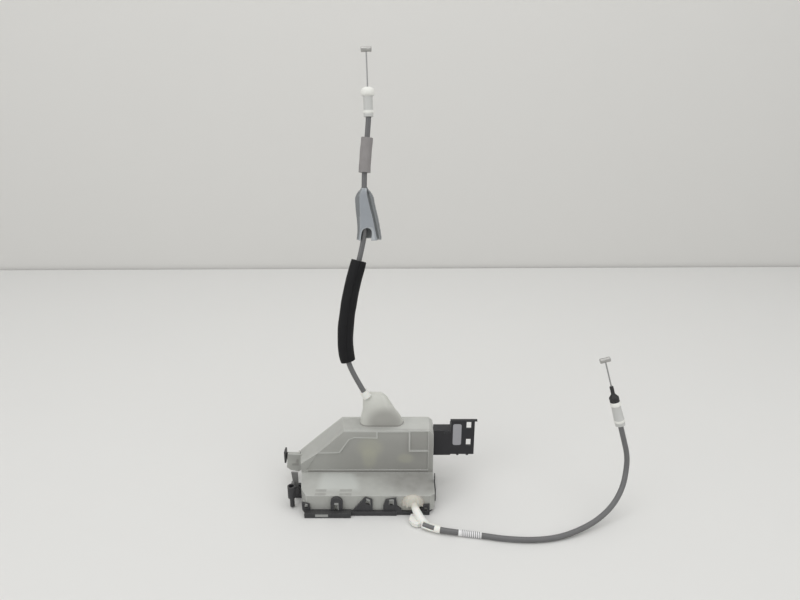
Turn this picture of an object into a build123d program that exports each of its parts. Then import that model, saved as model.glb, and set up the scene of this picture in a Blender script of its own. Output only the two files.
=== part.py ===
from build123d import *
import math
import os

# Car door lock: a flat latch block that stands on its steel face plate, an upright
# actuator leg behind it, and two Bowden cables. Millimetres, +Z up, -Y faces the viewer.
# The origin is the centre of the three fixing screws, on the underside of the face plate.

# Shared clearances
RUN = 0.05          # radial play of a bore on its pin
GAP = 0.3           # play between pieces that move past each other
SEAM = 0.2          # play between two mouldings that nest

# Steel face plate and back plate
PLATE_T = 2.5
PLATE_LEFT, PLATE_RIGHT = -56.0, 56.0
PLATE_FRONT, PLATE_BACK = -28.8, 31.0
PLATE_CORNER_R = 6.0
BACK_PLATE_T = 1.5
BACK_PLATE_LEFT, BACK_PLATE_RIGHT = -44.0, 48.0
BACK_PLATE_FRONT, BACK_PLATE_BACK = -24.0, 12.0

# Fixing screws: three M6 bushes on a circle about the origin
FIX_R = 28.0
FIX_ANGLES = (180.0, 60.0, -60.0)
FIX_HOLE_R = 3.0
BUSH_R = 4.2
ACCESS_R = 3.5

# Latch block
HOUSING_TOP = 16.2
POCKET_TOP = 12.2
POCKET_LEFT, POCKET_RIGHT = -46.0, 52.0
POCKET_FRONT, POCKET_BACK = -27.2, 28.6
POCKET_R = 5.0
BLOCK_LEFT, BLOCK_RIGHT = -64.5, 66.0
BLOCK_FRONT, BLOCK_BACK = -31.0, 31.0
BLOCK_WAIST_X, BLOCK_WAIST_Y = -61.0, -20.0
BLOCK_NOSE_X = -55.0
BLOCK_BEVEL = 4.0

# Striker mouth, open to the back and to the face plate
MOUTH_X = -2.0
MOUTH_W = 14.0
MOUTH_END_Y = 1.5
MOUTH_TOP = 13.5
STRIKER_Y = 8.0
STRIKER_R = 5.6
BUMPER_SIZE = (10.0, 5.0, 3.6)

# Claw, drawn latched about its own pivot and then turned open
CLAW_X, CLAW_Y = -17.0, -1.0
CLAW_BOTTOM, CLAW_T = 2.8, 5.0
CLAW_PIN_R = 4.0
CLAW_HUB_R = 6.5
CLAW_CAM_R = 11.7
CLAW_TOOTH_R = 15.5
CLAW_FLANKS = (-90.0, -115.0)
CLAW_TOOTH_SPAN = 12.0
CLAW_OPEN = 62.0
HOOK_T = 5.0
FINGER_REACH = 19.5
SKIN_T = 0.8

# Pawl, drawn dropped behind the claw's tooth and then turned to its rest
PAWL_X, PAWL_Y = 8.0, -15.0
PAWL_PIN_R = 3.0
PAWL_HUB_R = 5.0
PAWL_ARM_T = 4.2
PAWL_NOSE_W = 3.4
PAWL_REST = 10.0
PAWL_TAIL = 9.0

# Outer release lever, flat above the claw
OUTER_X, OUTER_Y = 30.0, -6.0
OUTER_BOTTOM, OUTER_T = 8.6, 2.0
OUTER_PIN_R = 2.5
OUTER_HUB_R = 5.0
OUTER_ARM = 16.0
OUTER_PUSH = (-8.5, -13.5)
OUTER_END_R = 2.6

# Torsion springs
WIRE_R = 0.6
COILS = 2

# Actuator leg
WALL = 1.8
LEG_FRONT, LEG_BACK = 5.0, 29.0
BASE_T = 2.0
LEDGE_TOP = 20.0
SKIRT_Z = 3.9
LEG_TOP = 67.8
LEG_RIGHT = 65.8
LEG_SLANT_FRONT = ((-64.5, 30.5), (-47.3, 42.7), (-20.4, 67.8))
LEG_SLANT_BACK = ((-68.5, 29.3), (-51.6, 44.5), (-24.7, 67.8))
LEG_BEVEL = 4.0
PANEL_DEPTH = 1.0
RIB = 1.2
BAND = ((-46.3, 43.7), (-27.0, 43.9), (-17.2, 58.4), (-11.2, 60.9), (10.2, 60.3))
SQUARE_PANEL = (43.1, 60.8, 45.4, 66.6)
LOWER_PANEL_TOP = 42.4

# Left flange of the cover, and the black bar at its end
FLANGE = ((-66.0, 31.5), (-79.7, 32.0), (-81.6, 16.5), (-77.9, 13.3), (-70.0, 11.4), (-66.0, 14.0))
FLANGE_Y, FLANGE_T = 19.0, 7.0
BAR_SIZE = (1.6, 6.0, 12.5)
BAR_Z = 21.5

# Motor, worm and gear train; the worm's axis lies in the wheel's middle plane
MODULE_WORM = 0.8
WHEEL_TEETH = 34
WORM_R = 3.5
WORM_TURNS = 6
TOOTH_SHARE = 0.32
GEAR_X, GEAR_Z = 23.0, 49.0
WHEEL_Y, WHEEL_T = 17.3, 4.0
AXLE_R = 2.0
PINION_TEETH = 10
PINION_MODULE = 1.0
PINION_T = 5.0
SECTOR_TEETH_EQUIV = 40
SECTOR_TEETH = (13.5, 4.5, -4.5, -13.5, -22.5, -31.5)
SHAFT_R = 1.0
MOTOR_START, MOTOR_LENGTH = 36.0, 23.0
MOTOR_R = 10.6
MOTOR_WIDE, MOTOR_TALL = 18.0, 15.4
MOTOR_CAP = 3.0
BEARING_R, BEARING_L = 3.0, 1.5

# Lock lever
LOCK_T = 4.0
LOCK_PIN_R = 2.5
LOCK_HUB_R = 6.5
LOCK_ARM = 18.0
LOCK_ARM_ANGLE = -100.0

# Inner release lever
INNER_X, INNER_Z = -32.0, 34.0
INNER_Y, INNER_T = 8.2, 2.0
INNER_PIN_R = 2.5
INNER_ARM = (26.0, 22.0)
INNER_FOOT = (-4.0, -10.0)
BOSS_R = 4.2

# Key rod lever at the left of the latch block
KEY_X, KEY_Z = -66.3, 12.0
KEY_Y, KEY_T = -11.0, 2.0
KEY_PIN_R = 2.0
KEY_PLATE = ((-71.3, 31.5), (-65.2, 30.9), (-65.2, 7.3), (-69.0, 7.3))
SOCKET_X, SOCKET_Y = -69.9, -22.0
SOCKET_R, SOCKET_BORE_R = 3.7, 2.5
SOCKET_TOP, SOCKET_FOOT, SOCKET_TIP = 24.3, 11.9, 1.6
SOCKET_PIN_R = 2.2
SOCKET_DEPTH = 9.0

# Cable hood on top of the leg, as sections: height, centre x, centre y, half widths
HOOD_WALL = 1.5
HOOD = (
    (67.8, 15.0, 21.0, 21.0, 8.0),
    (84.0, 12.6, 19.6, 14.4, 8.0),
    (96.0, 9.9, 18.3, 10.7, 6.9),
    (101.5, 9.0, 18.0, 6.0, 4.2),
)
COLLAR_R, COLLAR_L = 4.0, 7.0

# Connector at the right
NECK_START = 62.6
ROOT = (66.2, 83.0, 36.4, 64.9)
HEAD = (83.0, 106.7, 37.0, 72.5)
PLUG_FRONT, PLUG_BACK = 11.0, 26.0
PLUG_WALL = 1.6
PLUG_DEPTH = 18.0
WINDOW_X = (98.3, 102.8)
WINDOWS_Z = ((65.0, 70.6), (46.5, 54.3))
LIP = 1.8
NUB_XS = (90.0, 99.5)
PIN_COUNT = 6
PIN_SIZE = (12.0, 1.0, 0.8)

# Case screws and switches
SCREWS = ((-57.5, 25.0), (-26.5, 57.5), (55.5, 60.5), (30.0, 23.3))
SCREW_R, SCREW_HEAD_R, SCREW_HEAD_T = 1.4, 3.2, 2.0
SCREW_L = 12.0
SCREW_BOSS_R = 2.8
SWITCH_SIZE = (12.8, 6.4, 5.0)
CLAW_SWITCH_X, CLAW_SWITCH_Y = -38.0, -19.0
LOCK_SWITCH_X, LOCK_SWITCH_Z = -12.0, 26.0
TRACK_T = 1.0
TRACK_W = 4.0

# Cables
SHEATH_R = 2.5
CORE_R = 0.7
NIPPLE_R, NIPPLE_L = 2.4, 9.6
PULL = 7.0
INNER_ROUTE = (
    (-1.8, 18.0, 103.6), (-9.9, 19.0, 118.5), (-16.4, 21.0, 133.4), (-18.8, 24.0, 149.8),
    (-18.2, 28.0, 167.1), (-13.7, 35.0, 198.2), (-4.5, 43.0, 228.6), (1.2, 50.0, 255.9),
    (0.2, 55.0, 278.0), (0.2, 60.2, 300.0), (1.4, 65.0, 320.0), (3.4, 69.6, 338.0),
    (4.6, 73.0, 354.5),
)
INNER_END = (-0.03, 0.20, 0.979)
OUTER_ROUTE = (
    (54.0, -51.5, 4.8), (64.0, -57.2, 4.0), (85.5, -60.5, 3.0), (107.6, -64.2, 2.6),
    (127.5, -68.4, 2.6), (150.9, -70.0, 2.6), (172.1, -67.3, 2.6), (190.1, -61.4, 3.8),
    (211.6, -51.4, 7.0), (230.6, -38.0, 13.3), (243.4, -24.5, 23.5), (248.6, -15.0, 37.2),
    (248.9, -11.4, 51.5), (243.5, -10.3, 69.1), (239.9, -8.0, 81.7),
)
OUTER_END = (-0.272, 0.175, 0.946)
INNER_FERRULE_R, INNER_FERRULE_L = 4.0, 26.0
INNER_HEAD_R, INNER_HEAD_L = 6.4, 9.0
INNER_CORE_OUT = 33.0
OUTER_FERRULE_R, OUTER_FERRULE_L = 5.0, 24.0
BOOT_R, BOOT_TIP_R, BOOT_L = 4.5, 2.0, 15.5
OUTER_CORE_OUT = 26.0
FOAM_R = 7.4
GREY_FOAM_R = 5.8
LABEL_R = 2.9
CLIP_BOTTOM, CLIP_TOP = (1.4, 48.6, 250.0), (0.6, 58.4, 292.0)
CLIP_WIDE, CLIP_NARROW, CLIP_DEEP = 11.4, 6.2, 8.0

# Moulded guide of the outer cable on the front wall
GUIDE_X, GUIDE_Z = 45.4, 14.0
GUIDE_DOME_R = 5.5
GUIDE_R = 3.4
GUIDE_ROUTE = ((45.4, -32.4, 13.5), (47.6, -39.0, 7.4), (54.0, -51.5, 4.8), (64.0, -57.2, 4.0), (73.0, -58.6, 3.6))


def flat(points):
    """A face with straight edges through the points, facing up whichever way they run."""
    corners = list(points)
    area = sum(a[0] * b[1] - b[0] * a[1] for a, b in zip(corners, corners[1:] + corners[:1]))
    if area < 0:
        corners.reverse()
    return Polygon(*corners, align=None)


def rise(face, low, high):
    """Raise a face drawn in X and Y from one height to another."""
    return extrude(Pos(0, 0, low) * face, amount=high - low)


def deepen(face, front, back):
    """Extrude a face drawn in X and Z from one depth to another along +Y."""
    return extrude(Plane.XZ.offset(-front) * face, amount=front - back)


def block(x0, x1, y0, y1, z0, z1):
    """A plain block between six planes."""
    size = (x1 - x0, y1 - y0, z1 - z0)
    return Pos((x0 + x1) / 2, (y0 + y1) / 2, (z0 + z1) / 2) * Box(*size)


def post(x, y, z0, z1, radius):
    """A round post along Z."""
    return Pos(x, y, (z0 + z1) / 2) * Cylinder(radius, z1 - z0)


def pin_y(x, z, y0, y1, radius):
    """A round pin along Y."""
    return Pos(x, (y0 + y1) / 2, z) * Rot(90, 0, 0) * Cylinder(radius, y1 - y0)


def pin_x(y, z, x0, x1, radius):
    """A round pin along X."""
    return Pos((x0 + x1) / 2, y, z) * Rot(0, 90, 0) * Cylinder(radius, x1 - x0)


def inset(points, distance):
    """Move each edge of a counterclockwise outline inwards."""
    moved = []
    count = len(points)
    for i in range(count):
        ax, ay = points[i - 1]
        bx, by = points[i]
        cx, cy = points[(i + 1) % count]
        first = math.atan2(by - ay, bx - ax)
        second = math.atan2(cy - by, cx - bx)
        half = (second - first) / 2
        reach = distance / math.cos(half)
        angle = (first + second) / 2 + math.pi / 2
        if abs(half) > math.pi / 2:
            angle += math.pi
            reach = -reach
        moved.append((bx + reach * math.cos(angle), by + reach * math.sin(angle)))
    return moved


def polar(radius, degrees):
    """A point at a radius and an angle."""
    return (radius * math.cos(math.radians(degrees)), radius * math.sin(math.radians(degrees)))


def link(start, end, start_r, end_r):
    """A flat link with two round ends."""
    gap = math.dist(start, end)
    lean = math.degrees(math.atan2(end[1] - start[1], end[0] - start[0]))
    spread = math.degrees(math.acos((start_r - end_r) / gap))
    corners = []
    for centre, radius in ((start, start_r), (end, end_r)):
        for side in (spread, -spread):
            dx, dy = polar(radius, lean + side)
            corners.append((centre[0] + dx, centre[1] + dy))
    body = flat((corners[0], corners[2], corners[3], corners[1]))
    return body + Pos(*start) * Circle(start_r) + Pos(*end) * Circle(end_r)


def block_outline():
    """Plan of the latch block, counterclockwise."""
    return [
        (BLOCK_LEFT, BLOCK_BACK),
        (BLOCK_LEFT, LEG_FRONT),
        (BLOCK_WAIST_X, BLOCK_WAIST_Y),
        (BLOCK_NOSE_X, BLOCK_FRONT),
        (BLOCK_RIGHT - BLOCK_BEVEL, BLOCK_FRONT),
        (BLOCK_RIGHT, BLOCK_FRONT + BLOCK_BEVEL),
        (BLOCK_RIGHT, BLOCK_BACK),
    ]


def fix_points():
    """Centres of the three fixing screws."""
    return [polar(FIX_R, angle) for angle in FIX_ANGLES]


def rounded_plate(x0, x1, y0, y1, radius):
    """A rounded rectangle between four lines."""
    return Pos((x0 + x1) / 2, (y0 + y1) / 2) * RectangleRounded(x1 - x0, y1 - y0, radius)


def mouth_face():
    """Plan of the striker mouth, round at its inner end and open at the back."""
    half = MOUTH_W / 2
    back = BLOCK_BACK + 1
    straight = flat((
        (MOUTH_X - half, MOUTH_END_Y + half), (MOUTH_X + half, MOUTH_END_Y + half),
        (MOUTH_X + half, back), (MOUTH_X - half, back),
    ))
    return straight + Pos(MOUTH_X, MOUTH_END_Y + half) * Circle(half)


def pivots():
    """Centre and radius of the three upright pins of the latch block."""
    return (
        (CLAW_X, CLAW_Y, CLAW_PIN_R),
        (PAWL_X, PAWL_Y, PAWL_PIN_R),
        (OUTER_X, OUTER_Y, OUTER_PIN_R),
    )


def face_plate():
    """Steel plate that lies against the door's shut face."""
    face = rounded_plate(PLATE_LEFT, PLATE_RIGHT, PLATE_FRONT, PLATE_BACK, PLATE_CORNER_R)
    face -= mouth_face()
    for x, y in fix_points():
        face -= Pos(x, y) * Circle(BUSH_R)
    for x, y, radius in pivots():
        face -= Pos(x, y) * Circle(radius)
    return rise(face, 0, PLATE_T)


def back_plate():
    """Steel plate over the housing that ties the three pins together."""
    face = rounded_plate(BACK_PLATE_LEFT, BACK_PLATE_RIGHT, BACK_PLATE_FRONT, BACK_PLATE_BACK, PLATE_CORNER_R)
    for x, y in fix_points():
        face -= Pos(x, y) * Circle(ACCESS_R)
    for x, y, radius in pivots():
        face -= Pos(x, y) * Circle(radius)
    return rise(face, HOUSING_TOP, HOUSING_TOP + BACK_PLATE_T)


def upright_pin(x, y, radius):
    """Pin riveted flush in both steel plates."""
    return post(x, y, 0, HOUSING_TOP + BACK_PLATE_T, radius)


def fixing_bushes():
    """Three tapped bushes pressed into the face plate."""
    solids = []
    for x, y in fix_points():
        solids.append(post(x, y, 0, POCKET_TOP, BUSH_R) - post(x, y, -1, POCKET_TOP + 1, FIX_HOLE_R))
    return Compound(children=solids)


def clip(outline, window, y_front, y_back):
    """A snap loop in the plane of the front wall, with its window."""
    return deepen(flat(outline) - flat(window), y_front, y_back)


CLIP_T = 2.0
CLIP_FRONT = BLOCK_FRONT - SEAM - CLIP_T
CLIP_BACK = BLOCK_FRONT - SEAM
RAIL_LEFT = (-56.4, -13.0, -37.8, 4.9)
RAIL_MIDDLE = (-13.0, 30.0, -34.6, 4.3)
RAIL_RIGHT = (30.0, 61.0, -33.4, 3.6)
ARCH = (-31.9, -20.7, 20.0)
ARCH_WINDOW = (-28.9, -25.2, 4.9, 12.1)


def window_points(x0, x1, z0, z1):
    """Corners of a window."""
    return ((x0, z0), (x1, z0), (x1, z1), (x0, z1))


def front_clips():
    """Snap loops and rails that hold the cover's front wall."""
    parts = []
    low = SKIRT_Z - SEAM
    for x0, x1, front, top in (RAIL_LEFT, RAIL_MIDDLE, RAIL_RIGHT):
        bar = block(x0, x1, front, PLATE_FRONT - SEAM, 0, low)
        lip = block(x0, x1, front, CLIP_BACK, 0, top)
        parts.append(bar + lip)
    x0, x1, top = ARCH
    half = (x1 - x0) / 2
    arch = flat(window_points(x0, x1, 0, top - half)) + Pos(x0 + half, top - half) * Circle(half)
    arch -= flat(window_points(*ARCH_WINDOW))
    parts.append(deepen(arch, CLIP_FRONT - 1, CLIP_BACK))
    parts.append(clip(
        ((-11.3, 1.0), (-11.3, 4.3), (0.5, 19.4), (7.4, 16.8), (7.4, 1.0)),
        ((0.8, 12.0), (1.6, 16.6), (4.9, 15.4), (4.9, 11.2)), CLIP_FRONT, CLIP_BACK))
    parts.append(clip(
        ((17.4, 1.0), (17.4, 9.6), (19.9, 16.8), (29.7, 18.4), (30.6, 9.6), (34.6, 6.0), (34.6, 1.0)),
        window_points(23.2, 26.6, 10.8, 15.7), CLIP_FRONT, CLIP_BACK))
    parts.append(clip(
        ((-56.0, 1.0), (-58.8, 6.0), (-58.9, 14.1), (-51.9, 11.6), (-50.6, 1.0)),
        ((-56.6, 8.0), (-56.6, 11.4), (-53.4, 10.0), (-53.4, 7.4)), CLIP_FRONT, CLIP_BACK))
    parts.append(clip(
        ((51.0, 1.0), (51.0, 6.4), (54.4, 8.4), (54.4, 11.4), (61.0, 11.4), (61.0, 1.0)),
        window_points(56.4, 58.8, 4.6, 8.4), CLIP_FRONT, CLIP_BACK))
    return parts


RIGHT_CLIP = (BLOCK_RIGHT + SEAM, BLOCK_RIGHT + SEAM + 1.6)


def latch_housing():
    """Black moulding round the claw and the pawl, with the cover's snap loops."""
    outer = rise(flat(inset(block_outline(), WALL + SEAM)), PLATE_T, HOUSING_TOP)
    foot = rise(flat(inset(block_outline(), WALL + SEAM)), 0, PLATE_T)
    foot -= block(PLATE_LEFT - SEAM, PLATE_RIGHT + SEAM, PLATE_FRONT - SEAM, BLOCK_BACK, 0, PLATE_T)
    pocket = rounded_plate(POCKET_LEFT, POCKET_RIGHT, POCKET_FRONT, POCKET_BACK, POCKET_R)
    body = outer - rise(pocket, PLATE_T, POCKET_TOP) - rise(mouth_face(), PLATE_T, MOUTH_TOP)
    for x, y in fix_points():
        body -= post(x, y, POCKET_TOP, HOUSING_TOP, ACCESS_R)
        body -= post(x, y, 0, POCKET_TOP, BUSH_R)
    for x, y, radius in pivots():
        body -= post(x, y, POCKET_TOP, HOUSING_TOP, radius)
        body += post(x, y, POCKET_TOP - 0.8, HOUSING_TOP, radius + 1.6) - post(x, y, 0, HOUSING_TOP, radius)
    body += foot
    for piece in front_clips():
        body += piece
    x0, x1 = RIGHT_CLIP
    body += block(BLOCK_RIGHT - WALL - 2 * SEAM, x1, -14.0, -5.0, 1.2, SKIRT_Z - SEAM)
    body += block(x0, x1, -14.0, -5.0, 1.2, 14.6) + block(x0, x0 + 0.9, -12.0, -7.0, 14.6, 28.0)
    inner_left = BLOCK_WAIST_X + WALL + SEAM
    body += block(KEY_X - 3.4, inner_left + 1, KEY_Y + KEY_T + GAP, KEY_Y + KEY_T + GAP + 3, 0.6, SKIRT_Z - SEAM)
    bracket = block(KEY_X - 3.4, KEY_X + 3.2, KEY_Y + KEY_T + GAP, KEY_Y + KEY_T + GAP + 3, 0.6, KEY_Z + 4)
    body += bracket
    body -= pin_y(KEY_X, KEY_Z, KEY_Y, KEY_Y + KEY_T + GAP + 4, KEY_PIN_R)
    return body


def claw_outline():
    """The claw latched, about its own pivot."""
    dx, dy = MOUTH_X - CLAW_X, STRIKER_Y - CLAW_Y
    slot_low, slot_high = dy - STRIKER_R, dy + STRIKER_R
    hook_top = slot_high + HOOK_T
    hook = flat(((1.2, 9.0), (9.8, 3.0), (9.8, slot_high), (FINGER_REACH, slot_high),
                 (FINGER_REACH, hook_top - 2.2), (FINGER_REACH - 2.2, hook_top), (3.4, hook_top)))
    finger = flat(((0.0, slot_low), (FINGER_REACH - 0.8, slot_low), (FINGER_REACH + 0.8, 0.6),
                   (FINGER_REACH - 1.6, -4.0), (10.0, -6.0), (0.0, -6.0)))
    cam = [(0.0, 0.0)] + [polar(CLAW_CAM_R, a) for a in range(-110, -15, 5)]
    root = flat(((-CLAW_HUB_R, 0.0), (-5.2, -9.0), (0.0, -11.0), (12.0, 0.0), (9.9, 9.0), (1.0, 9.0), (0.0, 6.0)))
    face = Circle(CLAW_HUB_R) + hook + finger + flat(cam) + root
    for flank in CLAW_FLANKS:
        last = flank - CLAW_TOOTH_SPAN
        tooth = [(0.0, 0.0)] + [polar(CLAW_TOOTH_R, a) for a in (flank, flank - CLAW_TOOTH_SPAN / 2, last)]
        face += flat(tooth)
    face -= Pos(dx, dy) * Circle(STRIKER_R)
    face -= flat(((dx, slot_low), (40, slot_low), (40, slot_high), (dx, slot_high)))
    return face - Circle(CLAW_PIN_R + RUN)


def open_claw(face, low, high):
    """Place the claw at its pivot, turned to its open rest."""
    return rise(Pos(CLAW_X, CLAW_Y) * Rot(0, 0, CLAW_OPEN) * face, low, high)


def claw():
    """Steel claw that traps the striker."""
    return open_claw(claw_outline(), CLAW_BOTTOM, CLAW_BOTTOM + CLAW_T)


def claw_skin():
    """Plastic lining of the claw's throat, which quietens the striker."""
    dx, dy = MOUTH_X - CLAW_X, STRIKER_Y - CLAW_Y
    lining = Pos(dx, dy) * Circle(STRIKER_R) - Pos(dx, dy) * Circle(STRIKER_R - SKIN_T)
    lining -= flat(((dx, -20), (40, -20), (40, 40), (dx, 40)))
    for side in (-1, 1):
        edge = dy + side * STRIKER_R
        inner = edge - side * SKIN_T
        lining += flat(((dx, min(edge, inner)), (FINGER_REACH - 1, min(edge, inner)),
                        (FINGER_REACH - 1, max(edge, inner)), (dx, max(edge, inner))))
    return open_claw(lining, CLAW_BOTTOM, CLAW_BOTTOM + CLAW_T)


def pawl():
    """Steel pawl that holds the claw by one of its two teeth."""
    tip = CLAW_X - PAWL_X + GAP
    top = CLAW_Y - PAWL_Y - CLAW_TOOTH_R - GAP
    nose_top = CLAW_Y - PAWL_Y - CLAW_CAM_R - GAP - 0.1
    arm = flat(((tip, top - PAWL_ARM_T), (tip, nose_top - 0.2), (tip + PAWL_NOSE_W, nose_top - 0.7),
                (tip + PAWL_NOSE_W + 0.6, top), (0.0, top + 0.6), (0.0, -PAWL_HUB_R),
                (tip + 7, top - PAWL_ARM_T)))
    tail = link((0.0, 0.0), (PAWL_TAIL, -1.5), PAWL_HUB_R - 0.6, 2.6)
    face = Circle(PAWL_HUB_R) + arm + tail - Circle(PAWL_PIN_R + RUN)
    face = Pos(PAWL_X, PAWL_Y) * Rot(0, 0, PAWL_REST) * face
    return rise(face, CLAW_BOTTOM, CLAW_BOTTOM + CLAW_T)


def outer_release_lever():
    """Steel lever that the outer cable pulls."""
    face = link((0.0, 0.0), (OUTER_ARM, -2.0), OUTER_HUB_R, OUTER_END_R)
    face += link((0.0, 0.0), OUTER_PUSH, OUTER_HUB_R, OUTER_END_R)
    face -= Circle(OUTER_PIN_R + RUN)
    face -= Pos(OUTER_ARM, -2.0) * Circle(1.2)
    return rise(Pos(OUTER_X, OUTER_Y) * face, OUTER_BOTTOM, OUTER_BOTTOM + OUTER_T)


def coil_stack(radius):
    """Close coils of a torsion spring about Z, from z = 0 up."""
    face = None
    for turn in range(COILS):
        ring = Pos(radius, 0, WIRE_R + turn * 1.8 * WIRE_R) * Rot(90, 0, 0) * Circle(WIRE_R)
        face = ring if face is None else face + ring
    return revolve(face, Axis.Z)


def torsion_spring(radius, legs, leg_length):
    """A torsion spring with two straight legs, about Z."""
    spring = coil_stack(radius)
    for turn, angle in enumerate(legs):
        height = WIRE_R + turn * (COILS - 1) * 1.8 * WIRE_R
        leg = Pos(radius + WIRE_R / 3, leg_length / 2 - 1, height) * Rot(90, 0, 0) * Cylinder(WIRE_R, leg_length)
        spring += Rot(0, 0, angle) * leg
    return spring


def leg_outline(slant):
    """Outline of the actuator leg in X and Z, counterclockwise."""
    low = HOUSING_TOP + BACK_PLATE_T
    return [
        (slant[0][0], low), (LEG_RIGHT, low), (LEG_RIGHT, LEG_TOP - LEG_BEVEL),
        (LEG_RIGHT - LEG_BEVEL, LEG_TOP), slant[2], slant[1], slant[0],
    ]


def leg_solid(distance, front, back):
    """The leg's tapering block, with its walls moved in by a distance."""
    first = Plane.XZ.offset(-front) * flat(inset(leg_outline(LEG_SLANT_FRONT), distance))
    last = Plane.XZ.offset(-back) * flat(inset(leg_outline(LEG_SLANT_BACK), distance))
    return loft([first, last], ruled=True)


def front_panels():
    """Shallow recesses of the cover's front face."""
    slant = inset(leg_outline(LEG_SLANT_FRONT), 2 * RIB)
    top = slant[4][1]
    band = flat((BAND[4], BAND[3], BAND[2], BAND[1], BAND[0], slant[5], slant[4], (BAND[4][0], top)))
    x0, x1, z0, z1 = SQUARE_PANEL
    square = flat(window_points(x0, x1, z0, z1))
    field = flat((
        (slant[6][0] + 2, LEDGE_TOP + 3), (x1, LEDGE_TOP + 3), (x1, z0 - RIB), (x0 - RIB, z0 - RIB),
        (x0 - RIB, BAND[4][1] + 5.6), (BAND[4][0] + RIB, BAND[4][1] + 5.6),
        (BAND[4][0] + RIB, BAND[4][1] - RIB), (BAND[3][0] + 0.4, BAND[3][1] - RIB),
        (BAND[2][0] + RIB, BAND[2][1] - RIB / 2), (BAND[1][0] + RIB, BAND[1][1] - RIB),
        (BAND[0][0] - 2.2, LOWER_PANEL_TOP - 0.6),
    ))
    return deepen(band + square + field, LEG_FRONT, LEG_FRONT + PANEL_DEPTH)


def actuator_cover():
    """Milky moulding: the leg's front and sides, the ledge and the front wall."""
    low = HOUSING_TOP + BACK_PLATE_T
    shell = leg_solid(0, LEG_FRONT, LEG_BACK)
    cut = leg_solid(WALL, LEG_FRONT + WALL + PANEL_DEPTH, LEG_BACK)
    shell -= cut
    shell -= block(LEG_SLANT_BACK[0][0] + WALL, LEG_RIGHT - WALL, LEG_FRONT + WALL + PANEL_DEPTH, LEG_BACK, low, LEDGE_TOP)
    shell -= front_panels()
    outline = block_outline()
    front_half = block(-90, 90, BLOCK_FRONT - 1, LEG_FRONT + WALL + PANEL_DEPTH, 0, LEDGE_TOP)
    ledge = rise(flat(outline), SKIRT_Z, LEDGE_TOP) & front_half
    ledge -= rise(flat(inset(outline, WALL)), SKIRT_Z, low + 0.5)
    shell += ledge
    flange = deepen(flat(FLANGE), FLANGE_Y, FLANGE_Y + FLANGE_T)
    flange -= deepen(flat(inset(list(reversed(FLANGE)), WALL)), FLANGE_Y + WALL, FLANGE_Y + FLANGE_T)
    shell += flange - cut
    for x, z in SCREWS:
        boss = pin_y(x, z, LEG_FRONT + WALL + PANEL_DEPTH, LEG_BACK, SCREW_BOSS_R)
        shell += boss - pin_y(x, z, LEG_BACK - SCREW_L, LEG_BACK, SCREW_R)
    neck = block(LEG_RIGHT - 3, LEG_RIGHT + 1, PLUG_FRONT + 1, PLUG_BACK - 1, ROOT[2] + 2, ROOT[3] - 2)
    shell -= neck
    x, y = HOOD[0][1], HOOD[0][2]
    shell -= post(x - 4, y, LEG_TOP - WALL - 1, LEG_TOP + 1, 5.0)
    return shell


def base_boss(x, z, front, radius):
    """A round boss on the base's inner face that carries a pin."""
    return pin_y(x, z, front, LEG_BACK, BOSS_R) - pin_y(x, z, front, LEG_BACK, radius)


def lock_x():
    """Pivot of the lock lever, one centre distance left of the gear."""
    return GEAR_X - PINION_MODULE * (PINION_TEETH + SECTOR_TEETH_EQUIV) / 2


def motor_z():
    """Height of the motor's axis under the worm wheel."""
    return GEAR_Z - MODULE_WORM * WHEEL_TEETH / 2 - WORM_R


def actuator_base():
    """Black back shell of the leg, with its floor, bosses and motor cradle."""
    low = HOUSING_TOP + BACK_PLATE_T
    wall = deepen(flat(leg_outline(LEG_SLANT_BACK)), LEG_BACK, LEG_BACK + BASE_T)
    floor_left = LEG_SLANT_FRONT[0][0] + WALL + SEAM
    floor_front = LEG_FRONT + WALL + PANEL_DEPTH + SEAM
    floor = block(floor_left, LEG_RIGHT - WALL - SEAM, floor_front, LEG_BACK, low, LEDGE_TOP)
    base = wall + floor
    pinion_back = WHEEL_Y + WHEEL_T / 2 + PINION_T
    base += base_boss(GEAR_X, GEAR_Z, pinion_back + GAP, AXLE_R)
    base += base_boss(lock_x(), GEAR_Z, pinion_back + GAP, LOCK_PIN_R)
    base += base_boss(INNER_X, INNER_Z, INNER_Y + INNER_T + GAP, INNER_PIN_R)
    cradle_y = WHEEL_Y + MOTOR_WIDE / 2
    for x in (MOTOR_START + 3, MOTOR_START + MOTOR_LENGTH - 5):
        base += block(x, x + 2, cradle_y, LEG_BACK, motor_z() - 5, motor_z() + 5)
    for x, z in SCREWS:
        base -= pin_y(x, z, low, LEG_BACK + BASE_T, SCREW_R)
        base -= pin_y(x, z, low - 20, LEG_BACK, SCREW_BOSS_R + SEAM)
    x, _, tall = BAR_SIZE
    left = FLANGE[2][0] - GAP - x
    tongue_y = FLANGE_Y + FLANGE_T + SEAM
    base += block(left, left + x, FLANGE_Y, tongue_y + BASE_T, BAR_Z, BAR_Z + tall)
    edge = LEG_SLANT_BACK[0][0]
    base += block(left, edge - GAP, tongue_y, tongue_y + BASE_T, BAR_Z, BAR_Z + 7)
    base += block(edge - BASE_T, edge - GAP, tongue_y, LEG_BACK + BASE_T, BAR_Z, BAR_Z + 7)
    base += block(edge - BASE_T, edge + 1, LEG_BACK, LEG_BACK + BASE_T, BAR_Z, BAR_Z + 7)
    return base


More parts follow.
